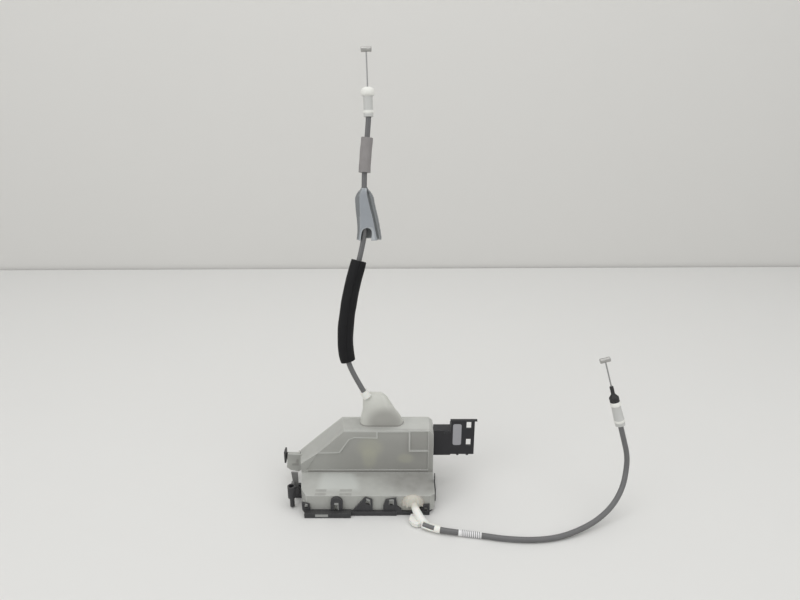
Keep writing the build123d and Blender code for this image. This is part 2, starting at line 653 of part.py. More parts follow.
def gear_face(teeth, module, thickness, dedendum, addendum, phase, centres=None):
    """A spur gear outline with involute flanks; teeth sit at the phase angle."""
    pitch_r = module * teeth / 2
    base_r = pitch_r * math.cos(math.radians(20))
    root_r = pitch_r - dedendum * module
    tip_r = pitch_r + addendum * module
    involute = lambda r: math.tan(math.acos(min(1.0, base_r / r))) - math.acos(min(1.0, base_r / r))
    half_pitch = thickness / (2 * pitch_r) + involute(pitch_r)
    low = max(base_r, root_r)
    radii = [low + (tip_r - low) * step / 4 for step in range(5)]
    face = Circle(root_r)
    angles = centres or [phase + 360 * i / teeth for i in range(teeth)]
    for centre in angles:
        right = [polar(root_r - 0.3, centre - math.degrees(half_pitch - involute(low)))]
        right += [polar(r, centre - math.degrees(half_pitch - involute(r))) for r in radii]
        left = [polar(r, centre + math.degrees(half_pitch - involute(r))) for r in reversed(radii)]
        left += [polar(root_r - 0.3, centre + math.degrees(half_pitch - involute(low)))]
        face += flat(right + left)
    return face


def worm_wheel():
    """Worm wheel and its pinion, moulded in one."""
    pitch = math.pi * MODULE_WORM
    step = 360 / WHEEL_TEETH
    wheel = gear_face(WHEEL_TEETH, MODULE_WORM, TOOTH_SHARE * pitch, 1.25, 1.0, -90 + step / 2)
    wheel -= Circle(MODULE_WORM * WHEEL_TEETH / 2 - 3) - Circle(PINION_MODULE * PINION_TEETH / 2 + 2)
    half = WHEEL_T / 2
    solid = deepen(wheel, -half, half)
    web = Circle(MODULE_WORM * WHEEL_TEETH / 2 - 2.6)
    for i in range(6):
        web -= Pos(*polar(8.6, 60 * i)) * Circle(1.5)
    solid += deepen(web, -half / 2, half / 2)
    pinion = gear_face(PINION_TEETH, PINION_MODULE, 0.44 * math.pi * PINION_MODULE, 1.2, 0.9, 180)
    solid += deepen(pinion, half, half + PINION_T)
    solid -= pin_y(0, 0, -half - 1, half + PINION_T + 1, AXLE_R + RUN)
    return Pos(GEAR_X, WHEEL_Y, GEAR_Z) * solid


def worm():
    """Worm pressed on the motor's shaft."""
    pitch = math.pi * MODULE_WORM
    length = WORM_TURNS * pitch
    core_r = WORM_R - 1.2 * MODULE_WORM
    tip_r = WORM_R + MODULE_WORM
    half_root = 0.5 * TOOTH_SHARE * pitch + 0.3
    half_tip = 0.5 * TOOTH_SHARE * pitch - 0.25
    helix = Helix(pitch, length, core_r)
    section = Plane.XZ * flat(((core_r - 0.2, -half_root), (tip_r, -half_tip), (tip_r, half_tip), (core_r - 0.2, half_root)))
    thread = sweep(section, path=helix, is_frenet=True)
    core = Pos(0, 0, length / 2) * Cylinder(core_r, length + 2 * pitch)
    solid = core + thread
    solid -= Pos(0, 0, length / 2) * Cylinder(SHAFT_R, length + 3 * pitch)
    start = GEAR_X - WORM_TURNS / 2 * pitch
    return Plane((start, WHEEL_Y, motor_z()), x_dir=(0, 0, 1), z_dir=(1, 0, 0)) * solid


def motor_shaft():
    """Motor shaft that carries the worm."""
    pitch = math.pi * MODULE_WORM
    start = GEAR_X - WORM_TURNS / 2 * pitch - pitch - 1
    return pin_x(WHEEL_Y, motor_z(), start, MOTOR_START + 1, SHAFT_R)


def motor_profile():
    """The motor can's flattened round section, in Y and Z."""
    return Circle(MOTOR_R) & Rectangle(MOTOR_WIDE, MOTOR_TALL)


def along_x(face, x0, x1):
    """Extrude a face drawn in Y and Z from x0 to x1 on the motor's axis."""
    return extrude(Plane((x0, WHEEL_Y, motor_z()), x_dir=(0, 1, 0), z_dir=(1, 0, 0)) * face, amount=x1 - x0)


def motor_can():
    """Steel can of the motor with its front bearing boss."""
    can = along_x(motor_profile(), MOTOR_START, MOTOR_START + MOTOR_LENGTH)
    can = fillet(can.edges().filter_by(Plane.YZ).group_by(Axis.X)[0], 0.8)
    can += pin_x(WHEEL_Y, motor_z(), MOTOR_START - BEARING_L, MOTOR_START + 1, BEARING_R)
    return can - pin_x(WHEEL_Y, motor_z(), MOTOR_START - BEARING_L - 1, MOTOR_START + 1 + GAP, SHAFT_R + RUN)


def motor_end_cap():
    """Plastic brush cap at the motor's rear."""
    start = MOTOR_START + MOTOR_LENGTH
    profile = Circle(MOTOR_R - 0.5) & Rectangle(MOTOR_WIDE - 1, MOTOR_TALL - 1)
    cap = along_x(profile, start, start + MOTOR_CAP - 1)
    cap += pin_x(WHEEL_Y, motor_z(), start + MOTOR_CAP - 1, start + MOTOR_CAP, BEARING_R)
    return cap


def lock_lever():
    """Toothed lever that the pinion swings between locked and unlocked."""
    pitch = math.pi * PINION_MODULE
    sector = gear_face(SECTOR_TEETH_EQUIV, PINION_MODULE, 0.44 * pitch, 1.2, 0.9, 0, centres=list(SECTOR_TEETH))
    pitch_r = PINION_MODULE * SECTOR_TEETH_EQUIV / 2
    first, last = SECTOR_TEETH[0] + 4.5, SECTOR_TEETH[-1] - 4.5
    wedge = flat([(0, 0)] + [polar(pitch_r + 3, last + (first - last) * i / 5) for i in range(6)])
    face = (sector & wedge) + Circle(LOCK_HUB_R)
    face += link((0.0, 0.0), polar(LOCK_ARM, LOCK_ARM_ANGLE), LOCK_HUB_R, 3.0)
    middle = (first + last) / 2
    face -= flat((polar(9.0, middle - 14), polar(15.4, middle - 16), polar(15.4, middle + 16), polar(9.0, middle + 14)))
    face -= Circle(LOCK_PIN_R + RUN)
    front = WHEEL_Y + WHEEL_T / 2 + 2 * GAP
    solid = deepen(Pos(lock_x(), GEAR_Z) * face, front, front + LOCK_T)
    x, z = polar(LOCK_ARM, LOCK_ARM_ANGLE)
    return solid + pin_y(lock_x() + x, GEAR_Z + z, front - 3, front, 2.2)


def inner_release_lever():
    """Steel lever that the inner cable pulls."""
    face = link((0.0, 0.0), INNER_ARM, 6.0, 3.2) + link((0.0, 0.0), INNER_FOOT, 6.0, 3.0)
    face -= Circle(INNER_PIN_R + RUN)
    face -= Pos(*INNER_ARM) * Circle(1.3)
    return deepen(Pos(INNER_X, INNER_Z) * face, INNER_Y, INNER_Y + INNER_T)


def key_lever():
    """Dark plate that turns on the left bracket and carries the rod socket."""
    face = flat(KEY_PLATE) + Pos(KEY_X, KEY_Z) * Circle(2.9)
    face -= Pos(KEY_X, KEY_Z) * Circle(KEY_PIN_R + RUN)
    plate = deepen(face, KEY_Y, KEY_Y + KEY_T)
    arm = block(SOCKET_X - 1.3, SOCKET_X + 1.3, SOCKET_Y + SOCKET_R, KEY_Y, 15.0, 22.0)
    return plate + arm


def rod_socket():
    """Upright socket for the key rod, with its pin below."""
    body = post(SOCKET_X, SOCKET_Y, SOCKET_FOOT, SOCKET_TOP, SOCKET_R)
    body -= post(SOCKET_X, SOCKET_Y, SOCKET_TOP - SOCKET_DEPTH, SOCKET_TOP + 1, SOCKET_BORE_R)
    body += post(SOCKET_X, SOCKET_Y, SOCKET_TIP, SOCKET_FOOT, SOCKET_PIN_R)
    return body


def hood_sections(wall):
    """Elliptic sections of the hood, moved in by a wall."""
    return [
        Pos(x, y, z - (wall if i == len(HOOD) - 1 else 0)) * Ellipse(rx - wall, ry - wall)
        for i, (z, x, y, rx, ry) in enumerate(HOOD)
    ]


def cable_hood():
    """Tapered hood over the inner cable's entry."""
    shell = loft(hood_sections(0))
    rim_x, rim_y, rx, ry = HOOD[0][1:]
    rim = rise(Pos(rim_x, rim_y) * Ellipse(rx + 0.8, ry + 0.5), LEG_TOP, LEG_TOP + 1.2)
    shell += rim
    shell -= loft(hood_sections(HOOD_WALL))
    return shell - collar_solid()


def collar_solid():
    """Solid form of the collar, along the cable's first run."""
    start = Vector(*INNER_ROUTE[0])
    run = (Vector(*INNER_ROUTE[1]) - start).normalized()
    plane = Plane(start - run * COLLAR_L, z_dir=run)
    return plane * (Pos(0, 0, COLLAR_L / 2) * Cylinder(COLLAR_R, COLLAR_L))


def hood_collar():
    """White collar in which the inner cable's sheath ends."""
    start = Vector(*INNER_ROUTE[0])
    run = (Vector(*INNER_ROUTE[1]) - start).normalized()
    plane = Plane(start - run * COLLAR_L, z_dir=run)
    return collar_solid() - plane * (Pos(0, 0, COLLAR_L / 2) * Cylinder(CORE_R + RUN, COLLAR_L))


def connector_shroud():
    """Black connector body, open to the right."""
    x0, x1, z0, z1 = ROOT
    hx0, hx1, hz0, hz1 = HEAD
    body = block(NECK_START, x0, PLUG_FRONT + 1 + SEAM, PLUG_BACK - 1 - SEAM, z0 + 2 + SEAM, z1 - 2 - SEAM)
    body += block(x0, x1, PLUG_FRONT, PLUG_BACK, z0, z1)
    body += block(hx0, hx1, PLUG_FRONT, PLUG_BACK, hz0, hz1)
    body += block(hx1 - 2, hx1 + LIP, PLUG_FRONT, PLUG_BACK, hz1 - 2.6, hz1 + LIP / 2)
    body -= block(hx1 - PLUG_DEPTH, hx1 + LIP + 1, PLUG_FRONT + PLUG_WALL, PLUG_BACK - PLUG_WALL,
                  hz0 + PLUG_WALL, hz1 - PLUG_WALL)
    for low, high in WINDOWS_Z:
        body -= block(WINDOW_X[0], WINDOW_X[1], PLUG_FRONT - 1, PLUG_BACK + 1, low, high)
    for x in NUB_XS:
        body += block(x - 1.2, x + 1.2, PLUG_FRONT, PLUG_BACK, hz0 - 1.2, hz0)
    body += block(x0 + 2, x1 - 1, PLUG_FRONT + 2, PLUG_BACK - 2, z1, z1 + 1.2)
    for i in range(PIN_COUNT):
        z = pin_height(i)
        body -= block(hx1 - PLUG_DEPTH - 4, hx1 - PLUG_DEPTH, mid_plug_y() - PIN_SIZE[1] / 2, mid_plug_y() + PIN_SIZE[1] / 2,
                      z - PIN_SIZE[2] / 2, z + PIN_SIZE[2] / 2)
    return body


def mid_plug_y():
    """Middle depth of the connector."""
    return (PLUG_FRONT + PLUG_BACK) / 2


def pin_height(index):
    """Height of one contact pin, spread evenly over the socket."""
    low, high = HEAD[2] + 5, HEAD[3] - 5
    return low + (high - low) * index / (PIN_COUNT - 1)


def connector_pins():
    """Flat contact pins in the connector's floor."""
    length, deep, tall = PIN_SIZE
    start = HEAD[1] - PLUG_DEPTH - 4
    solids = []
    for i in range(PIN_COUNT):
        z = pin_height(i)
        solids.append(block(start, start + length + 4, mid_plug_y() - deep / 2, mid_plug_y() + deep / 2, z - tall / 2, z + tall / 2))
    return Compound(children=solids)


def case_screws():
    """Screws that hold the base to the cover, from behind."""
    solids = []
    back = LEG_BACK + BASE_T
    for x, z in SCREWS:
        screw = pin_y(x, z, LEG_BACK - SCREW_L + 2, back, SCREW_R)
        head = pin_y(x, z, back, back + SCREW_HEAD_T, SCREW_HEAD_R)
        recess = pin_y(x, z, back + SCREW_HEAD_T - 1, back + SCREW_HEAD_T, 1.3)
        solids.append(screw + head - recess)
    return Compound(children=solids)


def switch_body(length, deep, tall):
    """A small sealed switch with its plunger on top, centred, from z = 0 up."""
    body = Pos(0, 0, tall / 2) * Box(length, deep, tall)
    body += Pos(length / 5, 0, tall + 0.4) * Box(2.0, 2.4, 0.8)
    return body


def claw_switch():
    """Switch beside the claw, under the housing's roof."""
    length, deep, tall = SWITCH_SIZE
    return Pos(CLAW_SWITCH_X, CLAW_SWITCH_Y, POCKET_TOP) * Rot(180, 0, 0) * switch_body(length, deep, tall)


def lock_switch():
    """Switch on the base, behind the lock lever's arm."""
    length, deep, tall = SWITCH_SIZE
    back = LEG_BACK
    return Pos(LOCK_SWITCH_X, back, LOCK_SWITCH_Z) * Rot(90, 0, 0) * switch_body(length, deep, tall - 1.2)


def lead_frame():
    """Brass tracks from the connector to the motor and the switch."""
    back = LEG_BACK
    front = back - TRACK_T
    top = LEG_TOP - WALL - 3.5
    left = LOCK_SWITCH_X - TRACK_W / 2
    tracks = block(left, SCREWS[2][0] - SCREW_BOSS_R - 1, front, back, top - TRACK_W, top)
    tracks += block(left, left + TRACK_W, front, back, LOCK_SWITCH_Z + 4, top)
    tracks += block(44.0, 44.0 + TRACK_W, front, back, motor_z() + 6, top)
    return tracks


def tube_path(points):
    """Straight runs joined by the largest tangent arcs that the runs leave room for."""
    if len(points) == 2:
        return Line(*points), []
    vectors = [Vector(*p) for p in points]
    radii = []
    for before, here, after in zip(vectors, vectors[1:], vectors[2:]):
        turn = math.radians((here - before).get_angle(after - here))
        shorter = min((here - before).length, (after - here).length)
        radii.append(0.45 * shorter / math.tan(turn / 2))
    return FilletPolyline(*points, radius=radii), radii


def tube(points, radius):
    """A round cord along its route."""
    path, radii = tube_path(points)
    plane = Plane(path @ 0, z_dir=path % 0)
    solid = sweep(plane * Circle(radius), path=path)
    ideal = math.pi * radius ** 2 * path.length
    print("cord radii", [round(r) for r in radii], "length", round(path.length, 1),
          "volume over section times length", round(solid.volume / ideal, 4))
    return solid


def sleeve(points, outer, bore):
    """A sleeve along part of a cord's route."""
    path, _ = tube_path(points)
    plane = Plane(path @ 0, z_dir=path % 0)
    return sweep(plane * (Circle(outer) - Circle(bore)), path=path)


def between(a, b, share):
    """A point on a run."""
    return tuple(p + (q - p) * share for p, q in zip(a, b))


def end_plane(point, direction, distance=0.0):
    """A plane square to a cable's straight end."""
    run = Vector(*direction).normalized()
    return Plane(Vector(*point) + run * distance, z_dir=run)


def on_axis(plane, start, length, radius, tip=None):
    """A round or tapering piece on a cable's straight end."""
    if tip is None:
        shape = Cylinder(radius, length)
    else:
        shape = Cone(radius, tip, length)
    return plane * (Pos(0, 0, start + length / 2) * shape)


def inner_ferrule():
    """White end fitting of the inner cable."""
    plane = end_plane(INNER_ROUTE[-1], INNER_END)
    fitting = on_axis(plane, 0, INNER_FERRULE_L, INNER_FERRULE_R)
    fitting += on_axis(plane, INNER_FERRULE_L - INNER_HEAD_L - 4, INNER_HEAD_L, INNER_HEAD_R)
    fitting += on_axis(plane, 2.5, 2.0, INNER_FERRULE_R + 1.2)
    return fitting - on_axis(plane, 1.0, INNER_FERRULE_L, CORE_R + RUN)


def inner_core():
    """Bare wire of the inner cable, which slides in its fitting."""
    plane = end_plane(INNER_ROUTE[-1], INNER_END)
    inside = PULL + 8
    return on_axis(plane, INNER_FERRULE_L - inside, inside + INNER_CORE_OUT - NIPPLE_R, CORE_R)


def nipple(point, direction, distance):
    """Barrel nipple across the end of a wire."""
    plane = end_plane(point, direction, distance)
    across = plane * (Rot(0, 90, 0) * Cylinder(NIPPLE_R, NIPPLE_L))
    return across - on_axis(plane, -NIPPLE_R - 1, NIPPLE_R + 1, CORE_R)


def outer_ferrule():
    """White end fitting of the outer cable."""
    plane = end_plane(OUTER_ROUTE[-1], OUTER_END)
    fitting = on_axis(plane, 0, OUTER_FERRULE_L, OUTER_FERRULE_R - 0.8)
    for start in (1.5, 9.0, OUTER_FERRULE_L - 6.0):
        fitting += on_axis(plane, start, 4.0, OUTER_FERRULE_R)
    return fitting - on_axis(plane, 1.0, OUTER_FERRULE_L, CORE_R + RUN)


def outer_boot():
    """Black tapered boot in which the outer wire slides."""
    plane = end_plane(OUTER_ROUTE[-1], OUTER_END, OUTER_FERRULE_L)
    boot = on_axis(plane, 0, 4.0, BOOT_R) + on_axis(plane, 4.0, BOOT_L - 4.0, BOOT_R - 0.6, BOOT_TIP_R)
    return boot - on_axis(plane, -1, BOOT_L + 2, CORE_R + RUN)


def outer_core():
    """Bare wire of the outer cable, which slides in its fitting."""
    plane = end_plane(OUTER_ROUTE[-1], OUTER_END, OUTER_FERRULE_L + BOOT_L)
    inside = PULL + 8
    return on_axis(plane, -inside, inside + OUTER_CORE_OUT - NIPPLE_R, CORE_R)


def trim_clip():
    """Folded clip that straddles the inner cable, narrow at the top and arched below."""
    low, high = Vector(*CLIP_BOTTOM), Vector(*CLIP_TOP)
    rise_dir = (high - low).normalized()
    plane_low = Plane(low, x_dir=(1, 0, 0), z_dir=rise_dir)
    plane_high = Plane(high, x_dir=(1, 0, 0), z_dir=rise_dir)
    outer = loft([plane_low * RectangleRounded(2 * CLIP_WIDE, CLIP_DEEP, 3.0),
                  plane_high * RectangleRounded(2 * CLIP_NARROW, CLIP_DEEP, 3.0)])
    inner = loft([plane_low * RectangleRounded(2 * CLIP_WIDE - 3, CLIP_DEEP - 3, 2.0),
                  plane_high * RectangleRounded(2 * CLIP_NARROW - 3, CLIP_DEEP - 3, 2.0)])
    arch = plane_low * (Rot(90, 0, 0) * Cylinder(5.0, 3 * CLIP_DEEP))
    return outer - inner - arch


def cable_guide(sheath):
    """White moulded elbow that leads the outer cable out of the front wall."""
    path, _ = tube_path(GUIDE_ROUTE)
    plane = Plane(path @ 0, z_dir=path % 0)
    arm = sweep(plane * Circle(GUIDE_R), path=path)
    dome = Pos(GUIDE_X, BLOCK_FRONT, GUIDE_Z) * Sphere(GUIDE_DOME_R)
    dome &= block(GUIDE_X - 20, GUIDE_X + 20, BLOCK_FRONT - 20, BLOCK_FRONT, SKIRT_Z, LEDGE_TOP)
    tab = block(42.5, 53.0, -47.5, -43.5, 1.0, 3.4)
    web = block(49.0, 52.0, -48.5, -42.0, 1.0, 6.0)
    guide = arm + dome + tab + web - sheath
    slot = block(54.5, 65.0, -70, -40, GUIDE_ROUTE[3][2] + 0.6, 12)
    guide -= slot
    return guide & block(0, 100, -90, BLOCK_FRONT, 0.2, LEDGE_TOP)


def build():
    """Every node of the lock, by name."""
    inner_sheath = tube(INNER_ROUTE, SHEATH_R)
    outer_sheath = tube(OUTER_ROUTE, SHEATH_R)
    pin_front = LEG_FRONT + WALL + PANEL_DEPTH + GAP
    nodes = {
        "face_plate": face_plate(),
        "back_plate": back_plate(),
        "fixing_bushes": fixing_bushes(),
        "latch_housing": latch_housing(),
        "claw": claw(),
        "claw_skin": claw_skin(),
        "claw_pin": upright_pin(CLAW_X, CLAW_Y, CLAW_PIN_R),
        "claw_spring": Pos(CLAW_X, CLAW_Y, CLAW_BOTTOM + CLAW_T + GAP) * torsion_spring(CLAW_PIN_R + 1.0, (150, 260), 9.0),
        "pawl": pawl(),
        "pawl_pin": upright_pin(PAWL_X, PAWL_Y, PAWL_PIN_R),
        "pawl_spring": Pos(PAWL_X, PAWL_Y, CLAW_BOTTOM + CLAW_T + GAP) * torsion_spring(PAWL_PIN_R + 1.0, (60, 200), 8.0),
        "striker_bumper": Pos(MOUTH_X, MOUTH_END_Y - BUMPER_SIZE[1] / 2, POCKET_TOP - BUMPER_SIZE[2] / 2) * Box(*BUMPER_SIZE),
        "outer_release_lever": outer_release_lever(),
        "outer_lever_pin": upright_pin(OUTER_X, OUTER_Y, OUTER_PIN_R),
        "outer_lever_spring": Pos(OUTER_X, OUTER_Y, PLATE_T + 1) * torsion_spring(OUTER_PIN_R + 1.0, (80, 300), 8.0),
        "actuator_cover": actuator_cover(),
        "actuator_base": actuator_base(),
        "cable_hood": cable_hood(),
        "hood_collar": hood_collar(),
        "connector_shroud": connector_shroud(),
        "connector_pins": connector_pins(),
        "lead_frame": lead_frame(),
        "claw_switch": claw_switch(),
        "lock_switch": lock_switch(),
        "case_screws": case_screws(),
        "motor_can": motor_can(),
        "motor_end_cap": motor_end_cap(),
        "motor_shaft": motor_shaft(),
        "worm": worm(),
        "worm_wheel": worm_wheel(),
        "gear_axle": pin_y(GEAR_X, GEAR_Z, WHEEL_Y - WHEEL_T, LEG_BACK, AXLE_R),
        "lock_lever": lock_lever(),
        "lock_lever_pin": pin_y(lock_x(), GEAR_Z, WHEEL_Y, LEG_BACK, LOCK_PIN_R),
        "inner_release_lever": inner_release_lever(),
        "inner_lever_pin": pin_y(INNER_X, INNER_Z, pin_front - 0.2, LEG_BACK, INNER_PIN_R),
        "key_lever": key_lever(),
        "rod_socket": rod_socket(),
        "key_lever_pin": pin_y(KEY_X, KEY_Z, KEY_Y - 1.5, KEY_Y + KEY_T + GAP + 3, KEY_PIN_R),
        "outer_cable_guide": cable_guide(outer_sheath),
        "inner_cable_sheath": inner_sheath,
        "black_foam_sleeve": sleeve(INNER_ROUTE[2:7], FOAM_R, SHEATH_R),
        "trim_clip": trim_clip(),
        "grey_foam_sleeve": sleeve((between(INNER_ROUTE[9], INNER_ROUTE[10], 0.3), INNER_ROUTE[10], INNER_ROUTE[11]), GREY_FOAM_R, SHEATH_R),
        "inner_cable_ferrule": inner_ferrule(),
        "inner_cable_core": inner_core(),
        "inner_cable_nipple": nipple(INNER_ROUTE[-1], INNER_END, INNER_FERRULE_L + INNER_CORE_OUT),
        "outer_cable_sheath": outer_sheath,
        "cable_label_sleeve": sleeve((OUTER_ROUTE[2], OUTER_ROUTE[3]), LABEL_R, SHEATH_R),
        "outer_cable_ferrule": outer_ferrule(),
        "outer_cable_boot": outer_boot(),
        "outer_cable_core": outer_core(),
        "outer_cable_nipple": nipple(OUTER_ROUTE[-1], OUTER_END, OUTER_FERRULE_L + BOOT_L + OUTER_CORE_OUT),
    }
    return nodes


os.makedirs("parts", exist_ok=True)
for name, shape in build().items():
    export_step(shape, f"parts/{name}.step")
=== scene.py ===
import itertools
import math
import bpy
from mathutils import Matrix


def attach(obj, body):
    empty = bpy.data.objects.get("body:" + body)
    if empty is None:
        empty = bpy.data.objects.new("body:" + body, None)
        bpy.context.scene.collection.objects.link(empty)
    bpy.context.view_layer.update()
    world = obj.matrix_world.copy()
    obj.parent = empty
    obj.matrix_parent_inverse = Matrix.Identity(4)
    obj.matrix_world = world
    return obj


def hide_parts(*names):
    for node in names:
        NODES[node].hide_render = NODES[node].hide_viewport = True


bl_info = {
    "name": "Door Lock",
    "version": (1, 0, 0),
    "blender": (4, 5, 0),
    "location": "View3D > Sidebar > Door Lock",
    "description": "Finishes a car door lock: milky case, black block, connector and two cables",
    "category": "Object",
}

from functools import partial

import bmesh
import bpy
from bpy.props import FloatProperty, FloatVectorProperty, PointerProperty
from mathutils import Vector, noise

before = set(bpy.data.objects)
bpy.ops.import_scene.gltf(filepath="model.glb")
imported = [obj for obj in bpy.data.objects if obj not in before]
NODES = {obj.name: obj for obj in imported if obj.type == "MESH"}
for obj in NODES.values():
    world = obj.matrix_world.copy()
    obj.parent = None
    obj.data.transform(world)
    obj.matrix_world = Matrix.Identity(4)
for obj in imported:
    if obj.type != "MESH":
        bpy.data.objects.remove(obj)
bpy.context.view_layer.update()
MM = 0.001

# Control points of the two cables' sheaths, in metres, from the lock outwards
INNER_ROUTE = (
    (-0.0018, 0.018, 0.1036), (-0.0099, 0.019, 0.1185), (-0.0164, 0.021, 0.1334),
    (-0.0188, 0.024, 0.1498), (-0.0182, 0.028, 0.1671), (-0.0137, 0.035, 0.1982),
    (-0.0045, 0.043, 0.2286), (0.0012, 0.050, 0.2559), (0.0002, 0.055, 0.278),
    (0.0002, 0.0602, 0.300), (0.0014, 0.065, 0.320), (0.0034, 0.0696, 0.338),
    (0.0046, 0.073, 0.3545),
)
INNER_END = Vector((-0.03, 0.20, 0.979)).normalized()
OUTER_ROUTE = (
    (0.054, -0.0515, 0.0048), (0.064, -0.0572, 0.004), (0.0855, -0.0605, 0.003),
    (0.1076, -0.0642, 0.0026), (0.1275, -0.0684, 0.0026), (0.1509, -0.070, 0.0026),
    (0.1721, -0.0673, 0.0026), (0.1901, -0.0614, 0.0038), (0.2116, -0.0514, 0.007),
    (0.2306, -0.038, 0.0133), (0.2434, -0.0245, 0.0235), (0.2486, -0.015, 0.0372),
    (0.2489, -0.0114, 0.0515), (0.2435, -0.0103, 0.0691), (0.2399, -0.008, 0.0817),
)
OUTER_END = Vector((-0.272, 0.175, 0.946)).normalized()

# Places in metres where pieces sit on the cables: heights on the inner one, X on the outer one
BLACK_FOAM_SPAN = (0.1345, 0.2278)
CLIP_SPAN = (0.2475, 0.2935)
GREY_FOAM_SPAN = (0.3065, 0.3375)
GUIDE_TUBE_SPAN = (0.0542, 0.0706)
STRIPED_SPAN = (0.0860, 0.1072)
STRIPED_FIELD = (0.0880, 0.1052)

# Ends of the cables in millimetres past the sheath: where the strand starts, how long it is, where the
# nipple sits, and where the outer cable's boot starts
INNER_BARE = (13.0, 44.0, 59.0)
OUTER_BARE = (25.0, 38.5, 65.5)
BOOT_START = 24.0
NIPPLE_RADIUS = 2.4
NIPPLE_LENGTH = 9.6

# A place past every side of the part, in metres, for masks that have no border there
FAR = 1.0

# Soft tones on the cover, in metres: centre, reach, colour and share; the ghosts are gears seen through it
# The shadow spots are painted shade: the hollow behind the wall, the right of the leg's face and the right
# of the ledge
SEEN_THROUGH_AND_PAINTED_SHADE = (
    ((0.018, 0.005, 0.033), (0.084, 0.013, 0.046), "shadow", 0.47),
    ((0.054, 0.005, 0.052), (0.022, 0.012, 0.022), "shadow", 0.30),
    ((0.0040, 0.005, 0.0480), (0.017, 0.012, 0.015), "ghost", 0.42),
    ((0.0030, 0.005, 0.0370), (0.010, 0.012, 0.017), "ghost", 0.42),
    ((0.0386, 0.005, 0.0360), (0.011, 0.012, 0.0075), "ghost", 0.40),
    ((0.052, -0.010, 0.019), (0.052, 0.024, 0.010), "shadow", 0.78),
)

# Marks seen in the ledge, in X and Y, in metres: the white trap and the bands of its two grips
PALE_TRAP = ((-0.0436, 0.0053), (-0.045, -0.0222), (-0.0048, -0.0222), (-0.0136, 0.0053))
GRIP_WIDTH = 0.0036
GRIP_BANDS = tuple(
    ((left, low), (right, low), (right, low + GRIP_WIDTH), (left, low + GRIP_WIDTH))
    for left, right in ((-0.0470, -0.0366), (-0.0238, -0.0124))
    for low in (-0.0248, -0.0306)
)

# Painted highlights along the ribs, and a painted shadow line at the foot of the leg's front face, in X and
# Z, in millimetres
RIB_HIGHLIGHTS = (
    ((-45.5, 43.0), (-26.4, 43.2), (-16.6, 57.8), (-10.9, 60.2), (10.8, 59.7), (10.8, 66.4)),
    ((42.4, 66.4), (42.4, 44.8), (61.4, 44.8)),
    ((-20.0, 66.9), (61.0, 66.9)),
)
LEG_FOOT_SHADOW = ((-57.0, 21.8), (60.0, 21.8))

# Outlines in X and Z, in metres: the flange's pocket, where shade is painted, the windows of the black
# block and its clips, and the back shell inside the cover's milky rim
FLANGE_POCKET_SHADE = (
    ((-0.0760, 0.0186), (-0.0692, 0.0186), (-0.0692, 0.0215), (-0.0760, 0.0210)),
    ((-0.0724, 0.0220), (-0.0692, 0.0215), (-0.0692, 0.0260), (-0.0710, 0.0260)),
)
RAIL_WINDOWS = (
    ((-0.0462, 0.0013), (-0.0342, 0.0013), (-0.0342, 0.0042), (-0.0462, 0.0042)),
    ((-0.0287, 0.0065), (-0.0245, 0.0065), (-0.0244, 0.0144), (-0.0282, 0.0144)),
    ((0.0019, 0.0136), (0.0054, 0.0116), (0.0052, 0.0171), (0.0016, 0.0189)),
    ((0.0228, 0.0116), (0.0273, 0.0116), (0.0275, 0.0174), (0.0231, 0.0183)),
    ((-0.0557, 0.0103), (-0.0537, 0.0092), (-0.0535, 0.0126), (-0.0557, 0.0136)),
)
BACK_FIELD = (
    (-0.0703, 0.0), (0.0643, 0.0), (0.0643, 0.0655),
    (-0.0258, 0.0655), (-0.0488, 0.0455), (-0.0703, 0.0260),
)

# Borders in metres of what is painted: the ledge's top and the painted shadow line at the hood's seam in Z,
# the leg's front face and the front of the black block in Y
LEDGE_TOP = (0.0150, 0.0206)
LEG_FRONT = (0.0020, 0.0066)
HOOD_SEAM_SHADOW = (0.0660, 0.0692)
BLOCK_FRONT = -0.0330

# Rows of the hood in millimetres: height, left, right, front, back, corner radius
HOOD_ROWS = (
    (67.8, -6.4, 37.0, 12.2, 28.8, 8.0), (75.0, -5.2, 33.6, 12.8, 28.6, 7.4),
    (82.0, -3.5, 28.6, 13.2, 28.2, 6.8), (90.0, -3.0, 23.8, 13.8, 27.6, 5.8),
    (96.0, -2.4, 20.4, 15.8, 26.0, 4.6), (100.0, 1.2, 15.6, 18.6, 23.8, 2.3),
)

# Rows of the folded clip in millimetres from the cable, foot first: left, right, panel's left and right
CLIP_ROWS = (
    (-6.5, 16.6, -4.5, 13.2), (-6.9, 14.6, -4.5, 10.6), (-7.6, 12.8, -4.5, 8.6), (-8.2, 11.2, -4.5, 7.0),
    (-8.6, 9.6, -4.5, 5.2), (-8.2, 8.0, -4.3, 3.6), (-2.9, 2.9, -2.2, 2.0),
)

# The clip's height, the stretch at its top that closes, and the arch in its panel, in millimetres
CLIP_HEIGHT = 46.0
CLIP_CLOSING = 6.0
ARCH_MIDDLE = 2.3
ARCH_HALF_WIDTH = 4.9
ARCH_TOP = 11.4

